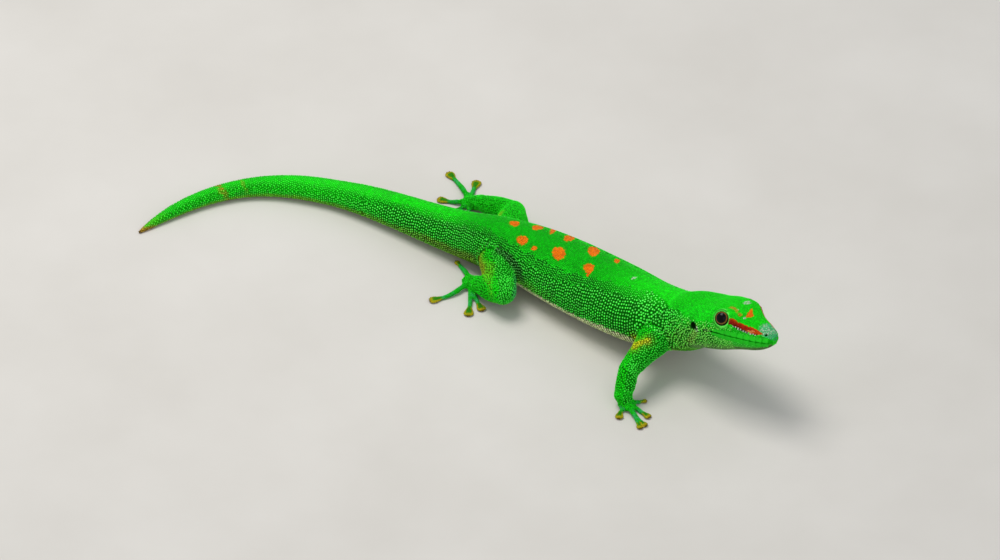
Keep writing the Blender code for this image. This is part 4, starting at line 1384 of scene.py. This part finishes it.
def settle(tree, place, normal, most=0.7):
    """Seats places on the skin. Returns which are kept, their seats and the skin's normals there."""
    keep = np.zeros(len(place), bool)
    seat = place.copy()
    facing = normal.copy()
    for i in range(len(place)):
        p = Vector(place[i])
        found, out, _, away = tree.find_nearest(p, most + 0.6)
        if found is None or away > most or (p - found).dot(out) < -0.08 or out.dot(Vector(normal[i])) < 0.25:
            continue
        keep[i] = True
        seat[i] = found
        facing[i] = out * 0.7 + Vector(normal[i]) * 0.3
    return keep, seat, unit(facing)


def off_features(place):
    """Which places are clear of the eyes, ears and nostrils."""
    clear = np.ones(len(place), bool)
    axes = [np.array(v) for v in head_axes()]
    for side in (1, -1):
        _, middle, _ = look_of(side)
        clear &= np.linalg.norm(place - np.array(middle), axis=1) > LID_RING + 0.62
        ear = place - np.array(on_head(EAR, side))
        scaled = np.stack([ear @ axis / half for axis, half in zip(axes, EAR_HALF)])
        clear &= np.linalg.norm(scaled, axis=0) > 1.32
        nostril = np.array(on_head(NOSTRIL, side))
        clear &= np.linalg.norm(place - nostril, axis=1) > NOSTRIL_RADIUS + 0.28
    return clear


def roots_at(sheet, along, turn, band=0, bands=1):
    """Places on the bake for places of a sheet, which takes up one of these bands of it."""
    u = ((along - sheet.along[0]) / (sheet.along[-1] - sheet.along[0])).clip(0, 1)
    v = (band + np.mod(turn, 2 * math.pi) / (2 * math.pi) * 0.96) / bands
    return np.c_[0.01 + 0.98 * u, 0.01 + 0.98 * v]


def lay(coats, sheet, tree, rows, shape, height, lift, painted_rim_shade, stretch, vary, glint):
    """Lays scales at rows of places: seats them on the skin, tints them and gives them to their coats."""
    along, turn, size = rows.T
    place, normal, ahead = sheet.sample(along, turn)
    keep, seat, facing = settle(tree, place, normal)
    keep &= off_features(place) & clear_of_mouth(along, turn)
    keep &= np.abs(along - seam_at(turn)) > 0.3
    along, turn, size = along[keep], turn[keep], size[keep]
    place, normal, ahead, seat, facing = place[keep], normal[keep], ahead[keep], seat[keep], facing[keep]
    tint = tint_of(sheet, along, turn, place, normal)
    spread = vary(along, turn) if callable(vary) else vary
    bright = 1 + spread * random_draws.standard_normal(len(along)).clip(-1.8, 1.8)
    tint = np.clip(tint * bright[:, None], 0.0, 1.0)
    jitter = 1 + 0.06 * random_draws.standard_normal((len(along), 1))
    half = size[:, None] / 2
    tall = (height(along) if callable(height) else np.full(len(along), height))[:, None]
    roots = roots_at(sheet, along, turn)
    seat = seat - facing * 0.05
    # How dark the painted shade at each scale's rim is
    rim_shade_each = painted_rim_shade(along) if callable(painted_rim_shade) else np.full(len(along), painted_rim_shade)
    names = body_piece(along)
    for name in sorted(set(names)):
        some = names == name
        coats.setdefault(name, Coat(name)).add(
            shape, seat[some], facing[some], ahead[some], half[some] * stretch[0] * jitter[some],
            half[some] * stretch[1] * jitter[some], tall[some] + 0.05, tint[some], roots[some], lift,
            rim_shade_each[some], glint,
        )


def seam_at(turn):
    """The scale seam where the tail once grew again, a little ragged."""
    return TAIL_SEAM - 0.9 * np.sin(turn - 0.6) + 0.35 * np.sin(5 * turn)


def lip_height(along):
    """How far the lip plates reach from the line of the mouth, less towards its corner."""
    return LIP_HIGH * (0.3 + 0.7 * rise(SNOUT - MOUTH_END + 1.0, SNOUT - MOUTH_END + 7.0, along))


def clear_of_mouth(along, turn):
    """Leaves room for the lip plates and the groove between them."""
    sizes = np.array([section_sizes(s)[:3] if s > 110 else (1.0, 9.0, 9.0) for s in along])
    height = np.where(np.sin(turn) > 0, sizes[:, 1], sizes[:, 2]) * np.abs(np.sin(turn)) ** 0.95
    in_mouth = (along > SNOUT - MOUTH_END + 2.7) & (height < lip_height(along) - 0.1)
    return ~in_mouth


def body_piece(along):
    ends = np.array([end for _, end in LENGTHS])
    names = np.array([name for name, _ in LENGTHS])
    return names[np.searchsorted(ends, along, side="right")]


def stations(rows):
    """A function of the distance along, from a few (distance, value) pairs."""
    at = [row[0] for row in rows]
    value = [row[1] for row in rows]
    return lambda s: float(np.interp(s, at, value))


def speckle(along, turn):
    """How unevenly bright the smallest scales are, more on the sides and the back of the head."""
    off_top = degrees_off_top(turn)
    return 0.14 + 0.1 * rise(96.0, 102.0, along) * (1 - rise(116.0, 122.0, along)) * rise(20.0, 50.0, off_top)


def coat_body(coats, sheet, tree, surface, laid):
    """Smooth small scales on the back, growing to round beads on the flanks and flat plates below."""
    low, high = sheet.along[0] + 0.3, SNOUT - 0.35
    top = math.pi / 2

    def edge(starts, seed):
        angle = stations(starts)
        return lambda s: math.radians(angle(s) + 2.5 * math.sin(0.9 * s + seed) + 1.5 * math.sin(2.3 * s))

    def between(near, away, side):
        return lambda s: tuple(sorted((top - side * near(s), top - side * away(s))))

    def flank_height(along):
        return np.interp(along, *zip(*FLANK_HEIGHT))

    def on_side(s, turn):
        degrees = (np.degrees(turn) - 90.0 + 180.0) % 360.0 - 180.0
        near, far, lowest = (np.interp(s, *zip(*starts)) for starts in (EDGE_FROM, FAR_EDGE_FROM, BELLY_FROM))
        return (np.abs(degrees) > np.where(degrees > 0, near, far)) & (np.abs(degrees) < lowest)

    inner = {-1: edge(EDGE_FROM, 0.0), 1: edge(FAR_EDGE_FROM, 0.0)}
    outer = {-1: edge(FLANK_FROM, 2.0), 1: edge(FAR_FLANK_FROM, 2.0)}
    lower = edge(BELLY_FROM, 4.0)
    rows = rows_on(sheet, stations(BACK_PITCH), low, high, lambda s: (top - inner[1](s), top + inner[-1](s)))
    tail, rows = rows[rows[:, 0] < TAIL_START], rows[rows[:, 0] >= TAIL_START]
    # After the shape: height, lift, painted shade at the rims, stretch, unevenness and painted glint on the
    # crowns
    lay(coats, sheet, tree, tail, BEAD, 0.18, -0.05, 0.16, (0.9, 0.86), 0.16, 0.12)
    lay(coats, sheet, tree, rows, PLATE, 0.14, -0.05, 0.42, (1.04, 1.04), speckle, 0.02)
    for side in (1, -1):
        # Each kind: spacing, edges, row phase, height, lift, painted rim shade at the rim-change distances,
        # stretch and glint
        kinds = (
            (EDGE_PITCH, inner[side], outer[side], 1, 0.27, -0.05, (0.32, 0.26, 0.14), (0.8, 0.88), 0.12),
            (FLANK_PITCH, outer[side], lower, 0, flank_height, -0.06, (0.3, 0.2, 0.09), (0.82, 0.86), 0.26),
        )
        for pitch, near, away, phase, height, lift, rim_shade_steps, stretch, glint in kinds:
            rows = rows_on(sheet, stations(pitch), low, high, between(near, away, side), phase)
            rows = rows[(rows[:, 0] < NECK_START) | (rows[:, 0] > NECK_END)]
            painted_rim_shade = functools.partial(np.interp, xp=RIM_SHADE_AT, fp=rim_shade_steps)
            lay(coats, sheet, tree, rows, BEAD, height, lift, painted_rim_shade, stretch, 0.2, glint)
    coat_neck(coats, sheet, surface, laid, on_side)
    below = lambda s: (top + lower(s), top + 2 * math.pi - lower(s))
    rows = rows_on(sheet, stations(BELLY_PITCH), low, high, below)
    # Painted shade at the rims and painted glint on the crowns, in the same order as above
    lay(coats, sheet, tree, rows, PLATE, 0.2, -0.14, 0.14, (0.84, 1.16), 0.2, 0.1)


def strewn(corners, outward, spacing):
    """Places spread without rows over triangles, none nearer to another than the spacing there. Returns the
    places, their normals and the spacing at each."""
    reach = np.broadcast_to(spacing, (len(corners),))
    a, b, c = corners[:, 0], corners[:, 1], corners[:, 2]
    share = np.linalg.norm(np.cross(b - a, c - a), axis=1) / 2 / reach**2
    pick = random_draws.choice(len(share), int(share.sum() * 8), p=share / share.sum())
    u, v = random_draws.uniform(0.0, 1.0, (2, len(pick), 1))
    over = u + v > 1
    u, v = np.where(over, 1 - u, u), np.where(over, 1 - v, v)
    places = a[pick] * (1 - u - v) + b[pick] * u + c[pick] * v
    normals = outward[pick, 0] * (1 - u - v) + outward[pick, 1] * u + outward[pick, 2] * v
    cells = np.floor(places / reach.max()).astype(int).tolist()
    steps = [(i, j, k) for i in (-1, 0, 1) for j in (-1, 0, 1) for k in (-1, 0, 1)]
    taken, kept = {}, []
    for n, (p, cell, r) in enumerate(zip(places.tolist(), cells, (reach[pick] ** 2).tolist())):
        near = (
            q for i, j, k in steps for q in taken.get((cell[0] + i, cell[1] + j, cell[2] + k), ())
        )
        if all((q[0] - p[0]) ** 2 + (q[1] - p[1]) ** 2 + (q[2] - p[2]) ** 2 >= r for q in near):
            taken.setdefault(tuple(cell), []).append(p)
            kept.append(n)
    return places[kept], unit(normals[kept]), reach[pick][kept]


def coat_legs(coats, legs, sheets, surface, laid):
    """Beads on the limbs, finer on the palms and toes and on the far legs."""
    corners, outward, nearest = surface
    tree, owners, alongs, turns, _ = laid
    for name, parts in legs.items():
        coat = coats.setdefault("coat_" + name, Coat("coat_" + name))
        far = name.endswith("_left")
        edge_of_smooth = -0.1 if name == "foreleg_right" else -0.3
        for k, sheet in enumerate(parts):
            mine = owners[nearest] == sheets.index(sheet)
            if not mine.any():
                continue
            # Spacing, height, painted shade at the rims and painted glint on the crowns, for each kind of
            # limb scale
            if "_toe_" in sheet.name:
                spacing, height, painted_rim_shade, glint = 0.36, 0.13, 0.5, 0.02
            elif "_palm" in sheet.name or "_wrist" in sheet.name:
                spacing, height, painted_rim_shade, glint = 0.42, 0.18, 0.3, 0.04
            elif far:
                spacing, height, painted_rim_shade, glint = 0.48, 0.24, 0.45, 0.05
            else:
                spacing, height, painted_rim_shade, glint = 0.64, 0.34, 0.1, 0.16
            place, facing, _ = strewn(corners[mine], outward[mine], spacing)
            close = np.array([tree.find(p)[1] for p in place])
            tint = tint_of(sheet, alongs[close], turns[close], place, facing)
            bright = 1 + 0.1 * random_draws.standard_normal(len(place)).clip(-1.8, 1.8)
            tint = np.clip(tint * bright[:, None], 0.0, 1.0)
            half = spacing * random_draws.uniform(0.56, 0.66, (len(place), 1))
            roots = roots_at(sheet, alongs[close], turns[close], k, len(parts))
            _, _, ahead = sheet.sample(alongs[close], turns[close])
            smooth = (facing[:, 0] + 0.12 * blotch(place, 2.0, 55.0) < edge_of_smooth) & (not far)
            layers = ((~smooth, height, painted_rim_shade, glint), (smooth, height * 0.55, max(painted_rim_shade, 0.5), 0.02))
            for some, tall, rim, shine in layers:
                coat.add(
                    BEAD, place[some] - facing[some] * 0.05, facing[some], ahead[some], half[some] * 1.05,
                    half[some], tall + 0.05, tint[some], roots[some], -0.05, rim, shine,
                )


def coat_neck(coats, sheet, surface, laid, zone):
    """Beads strewn over the sides of the neck and the rear of the head, where the body bends."""
    corners, outward, nearest = surface
    tree, owners, alongs, turns, _ = laid
    s, turn = alongs[nearest], turns[nearest]
    mine = (owners[nearest] == 0) & (s > NECK_START - 1.5) & (s < NECK_END + 1.5)
    pitch = np.interp(s[mine], (84, 98, 110, 121, 127), (0.86, 0.76, 0.68, 0.58, 0.5))
    place, facing, size = strewn(corners[mine], outward[mine], pitch)
    close = np.array([tree.find(p)[1] for p in place])
    s, turn = alongs[close], turns[close]
    keep = (owners[close] == 0) & (s >= NECK_START) & (s < NECK_END) & zone(s, turn)
    keep &= off_features(place) & clear_of_mouth(s, turn)
    place, facing, size, s, turn = place[keep], facing[keep], size[keep], s[keep], turn[keep]
    tint = tint_of(sheet, s, turn, place, facing)
    off_top = degrees_off_top(turn)
    chance = random_draws.uniform(0.0, 1.0, len(place)) ** 1.5
    light = rise(92.0, 104.0, s) * rise(58.0, 84.0, off_top) * chance
    light = np.maximum(light, 0.55 * rise(98.0, 104.0, s) * rise(84.0, 100.0, off_top))
    tint = mix(tint, CHEEK_LIGHT, light * 0.9)
    bright = 1 + 0.22 * random_draws.standard_normal(len(place)).clip(-1.8, 1.8)
    tint = np.clip(tint * bright[:, None], 0.0, 1.0)
    half = size[:, None] * random_draws.uniform(0.58, 0.7, (len(place), 1))
    _, _, ahead = sheet.sample(s, turn)
    folded = off_line(np.c_[s, np.degrees(np.mod(turn, 2 * math.pi)) * DEGREE], BELOW_EAR) < 0.9
    roots = roots_at(sheet, s, turn)
    tall = (np.interp(s, (84, 100, 120), (0.42, 0.36, 0.26)) * np.where(folded, 0.35, 1.0) + 0.05)[:, None]
    names = body_piece(s)
    for name in sorted(set(names)):
        some = names == name
        # Rims painted with shade, and crowns with a painted glint
        coats.setdefault(name, Coat(name)).add(
            BEAD, place[some] - facing[some] * 0.05, facing[some], ahead[some], half[some] * 1.08, half[some],
            tall[some], tint[some], roots[some], -0.05, 0.18, 0.3,
        )


def coat_lips(coats, sheet, tree):
    """A row of long plates above the mouth and one below, on both sides, and the two at its front."""
    coat = coats["coat_head_front"]
    for upper in (1, -1):
        for side in (1, -1):
            at = 1.0
            while at < MOUTH_END - 2.4:
                length = 1.7 + 0.7 * math.sin(math.pi * min(at / 18.0, 1.0))
                s = SNOUT - at - length / 2
                _, top, below, square_up, square_down = section_sizes(s)
                reach, square = (top, square_up) if upper > 0 else (below, square_down)
                high = float(lip_height(np.array([s]))[0])
                height = 0.2 + high / 2
                angle = math.asin(min(height / reach, 1.0) ** (square / 2))
                turn = upper * angle if side > 0 else math.pi - upper * angle
                place, normal, ahead = sheet.sample(np.array([s]), np.array([turn]))
                keep, seat, facing = settle(tree, place, normal)
                tint = mix(np.array([BRIGHT]), CHEEK, np.array([0.5])) * (0.74 if upper > 0 else 0.66)
                along = 0.01 + 0.98 * (s - TAIL_TIP) / (SNOUT - TAIL_TIP)
                root = np.array([[along, (turn / (2 * math.pi)) % 1.0]])
                if keep[0]:
                    # Plates with hardly any painted shade at their rims
                    coat.add(
                        LIP, seat - facing * 0.05, facing, ahead, length / 2 + 0.06, high / 2, 0.07, tint,
                        root, 0.0, 0.96,
                    )
                at += length
    for above, wide, tall in ((0.95, 1.25, 0.72), (-0.75, 1.1, 0.6)):
        forward, _, upward = (np.array([v]) for v in head_axes())
        place = np.array([head_place((0.1, 0.0, above))])
        keep, seat, facing = settle(tree, place, forward, 2.0)
        # Plates with little painted shade at their rims
        coat.add(
            LIP, seat - facing * 0.05, facing, upward, tall, wide, 0.1, np.array([BRIGHT]) * 0.8,
            np.array([[0.985, 0.25 if above > 0 else 0.75]]), 0.0, 0.86,
        )


def ring_of_scales(coat, tree, centre, axis, radius, count, size, height, tint, root):
    """Small scales in a ring round a feature."""
    side = axis.orthogonal().normalized()
    other = axis.cross(side)
    turns = even_turns(count)
    out = np.outer(np.cos(turns), np.array(side)) + np.outer(np.sin(turns), np.array(other))
    place = np.array(centre) + out * radius
    keep, seat, facing = settle(tree, place, np.tile(np.array(axis), (count, 1)), 1.0)
    ahead = np.cross(facing, unit(out))
    tints = np.tile(tint, (count, 1)) * (1 + 0.1 * random_draws.standard_normal((count, 1)))
    # Rims with painted shade
    coat.add(
        BEAD, seat[keep] - facing[keep] * 0.04, facing[keep], ahead[keep], size, size, height,
        np.clip(tints[keep], 0, 1), np.tile(root, (int(keep.sum()), 1)), 0.0, 0.5,
    )


def coat_features(coats, tree):
    """Rings of small scales on the lids and round the nostrils."""
    for side in (1, -1):
        _, middle, look = look_of(side)
        coat = coats["coat_head_front"]
        root = np.array([0.93, 0.25 + 0.2 * side])
        for radius, count, size, height, tint in LID_RINGS:
            ring_of_scales(coat, tree, middle + look * 0.3, look, radius, count, size, height, tint, root)
        nostril = on_head(NOSTRIL, side)
        forward, left, upward = head_axes()
        out = (left * side + forward * 0.55 + upward * 0.25).normalized()
        root = np.array([0.975, 0.25])
        ring_of_scales(coat, tree, nostril + out * 0.1, out, 0.84, 10, 0.27, 0.12, TEAL, root)


# Eyes


def build_eye(name, node, side, material):
    """An eyeball with its pole on the line of sight, marked by the angle from the middle of its pupil."""
    centre, _, look = look_of(side)
    turn = look.to_track_quat("Z", "Y").to_matrix()
    bm = ball(EYE_RADIUS, centre, 64, 64, turn=turn)
    forward, _, upward = head_axes()
    pupil = (look + upward * 0.13 - forward * 0.04).normalized()
    layer = bm.verts.layers.float.new("off_sight")
    for v in bm.verts:
        flat = (v.co - centre).normalized()
        v[layer] = math.acos(max(-1.0, min(1.0, flat.dot(pupil)))) / math.pi
    eye = new_object(name, bm)
    eye.data.shade_smooth()
    eye.data.materials.append(material)
    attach(eye, "root")
    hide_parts(node)
    return eye


# Materials


def new_material(name):
    material = bpy.data.materials.new(name)
    material.use_nodes = True
    tree = material.node_tree
    shader = tree.nodes["Principled BSDF"]
    return material, tree, shader


def add_noise(tree, size, detail=3.0, roughness=0.55):
    """Noise on object coordinates, with patches about this many metres across."""
    coords = tree.nodes.new("ShaderNodeTexCoord")
    pattern = tree.nodes.new("ShaderNodeTexNoise")
    pattern.inputs["Scale"].default_value = 1.0 / size
    pattern.inputs["Detail"].default_value = detail
    pattern.inputs["Roughness"].default_value = roughness
    tree.links.new(coords.outputs["Object"], pattern.inputs["Vector"])
    return pattern


def add_ramp(tree, source, stops):
    ramp = tree.nodes.new("ShaderNodeValToRGB")
    for i, (at, colour) in enumerate(stops):
        stop = ramp.color_ramp.elements[i] if i < 2 else ramp.color_ramp.elements.new(at)
        stop.position = at
        stop.color = (*colour, 1.0)
    tree.links.new(source, ramp.inputs["Fac"])
    return ramp


def add_mix(tree, first, second, blend):
    node = tree.nodes.new("ShaderNodeMix")
    node.data_type = "RGBA"
    node.blend_type = blend
    node.inputs["Factor"].default_value = 1.0
    tree.links.new(first, node.inputs["A"])
    tree.links.new(second, node.inputs["B"])
    return node


def add_bump(tree, shader, source, distance, strength=1.0):
    bump = tree.nodes.new("ShaderNodeBump")
    bump.inputs["Distance"].default_value = distance
    bump.inputs["Strength"].default_value = strength
    tree.links.new(source, bump.inputs["Height"])
    tree.links.new(bump.outputs["Normal"], shader.inputs["Normal"])


def scaly_material(name, roughness, grain, shades, shine):
    """The markings with a fine mottle over them and a slightly uneven gloss."""
    material, tree, shader = new_material(name)
    tint = tree.nodes.new("ShaderNodeAttribute")
    tint.attribute_name = "tint"
    mottle = add_noise(tree, grain)
    shade = add_ramp(tree, mottle.outputs["Fac"], ((0.3, (shades[0],) * 3), (0.7, (shades[1],) * 3)))
    colour = add_mix(tree, tint.outputs["Color"], shade.outputs["Color"], "MULTIPLY")
    tree.links.new(colour.outputs["Result"], shader.inputs["Base Color"])
    stops = ((0.3, (roughness - 0.06,) * 3), (0.7, (roughness + 0.08,) * 3))
    gloss = add_ramp(tree, mottle.outputs["Fac"], stops)
    tree.links.new(gloss.outputs["Color"], shader.inputs["Roughness"])
    shader.inputs["Specular IOR Level"].default_value = shine
    add_bump(tree, shader, add_noise(tree, 0.00025, 2.0).outputs["Fac"], 0.00003, 0.5)
    return material


def eye_material():
    """A black pupil in a thin brown-orange iris, under a clear wet surface."""
    material, tree, shader = new_material("Wet eye")
    off = tree.nodes.new("ShaderNodeAttribute")
    off.attribute_name = "off_sight"
    stops = (
        (0.0, (0.0015, 0.0015, 0.002)),
        (0.2, (0.002, 0.002, 0.003)),
        (0.214, (0.06, 0.025, 0.008)),
        (0.238, (0.36, 0.13, 0.03)),
        (0.262, (0.22, 0.09, 0.03)),
        (0.29, (0.02, 0.015, 0.01)),
    )
    ramp = add_ramp(tree, off.outputs["Fac"], stops)
    fleck = add_noise(tree, 0.0005, 4.0)
    shade = add_ramp(tree, fleck.outputs["Fac"], ((0.35, (0.7, 0.7, 0.7)), (0.65, (1.15, 1.1, 1.0))))
    colour = add_mix(tree, ramp.outputs["Color"], shade.outputs["Color"], "MULTIPLY")
    tree.links.new(colour.outputs["Result"], shader.inputs["Base Color"])
    shader.inputs["Roughness"].default_value = 0.3
    shader.inputs["Specular IOR Level"].default_value = 0.0
    shader.inputs["Coat Weight"].default_value = 1.0
    shader.inputs["Coat IOR"].default_value = 1.22
    shader.inputs["Coat Roughness"].default_value = 0.02
    return material


def floor_material():
    material, tree, shader = new_material("Pale floor")
    cloud = add_noise(tree, 0.08, 4.0)
    shade = add_ramp(tree, cloud.outputs["Fac"], ((0.3, (0.60, 0.56, 0.50)), (0.7, (0.66, 0.62, 0.56))))
    tree.links.new(shade.outputs["Color"], shader.inputs["Base Color"])
    shader.inputs["Roughness"].default_value = 0.75
    return material


# Stage


def build_stage():
    """A plain pale floor, soft lights all round and the photograph's point of view."""
    bm = bmesh.new()
    bmesh.ops.create_grid(bm, x_segments=8, y_segments=8, size=3.0)
    floor = plain_object("floor", bm, bpy.context.scene.collection)
    floor.data.materials.append(floor_material())

    for name, place, size, power in (
        ("Key light", (-0.2, 0.12, 0.75), 0.4, 3.9),
        ("Fill light", (0.35, -0.75, 0.5), 0.8, 1.1),
    ):
        lamp = bpy.data.lights.new(name, "AREA")
        lamp.size = size
        lamp.energy = power
        light = bpy.data.objects.new(name, lamp)
        light.location = place
        light.rotation_euler = (-Vector(place)).to_track_quat("-Z", "Y").to_euler()
        bpy.context.scene.collection.objects.link(light)
    world = bpy.data.worlds.new("Pale studio")
    world.use_nodes = True
    world.node_tree.nodes["Background"].inputs["Color"].default_value = (0.86, 0.92, 1.0, 1.0)
    world.node_tree.nodes["Background"].inputs["Strength"].default_value = 0.6
    bpy.context.scene.world = world

    elevation = math.radians(VIEW_ELEVATION)
    aim = Vector((CENTRE_SHIFT[0], CENTRE_SHIFT[1], 0.0)) * MM
    camera = bpy.data.cameras.new("Camera")
    camera.sensor_width = 36.0
    camera.lens = camera.sensor_width * VIEW_DISTANCE / (VIEW_PIXELS / VIEW_SCALE)
    camera.clip_end = 20.0
    seat = bpy.data.objects.new("Camera", camera)
    away = Vector((0.0, -math.cos(elevation), math.sin(elevation))) * VIEW_DISTANCE * MM
    seat.location = aim + away
    seat.rotation_euler = (math.pi / 2 - elevation, 0.0, 0.0)
    bpy.context.scene.collection.objects.link(seat)
    bpy.context.scene.camera = seat
    bpy.context.scene.view_settings.view_transform = "Standard"


def main():
    body = body_sheet()
    legs = limb_sheets()
    sheets = [body] + [sheet for leg in legs.values() for sheet in leg]
    skin, tree, surface, laid = build_skin(sheets)
    skin.data.materials.append(scaly_material("Skin between scales", 0.7, 0.0016, (0.8, 1.1), 0.04))
    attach(skin, "root")
    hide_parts(*[name for name in frame["nodes"] if not name.startswith("eye_")])

    coats = {}
    coat_body(coats, body, tree, surface, laid)
    coat_legs(coats, legs, sheets, surface, laid)
    coat_lips(coats, body, tree)
    coat_features(coats, tree)
    scales = scaly_material("Scales", 0.42, 0.0012, (0.9, 1.15), 0.08)
    for name in sorted(coats):
        coats[name].make(scales)

    eye = eye_material()
    build_eye("eye_left_ball", "eye_left", 1, eye)
    build_eye("eye_right_ball", "eye_right", -1, eye)
    build_stage()


main()
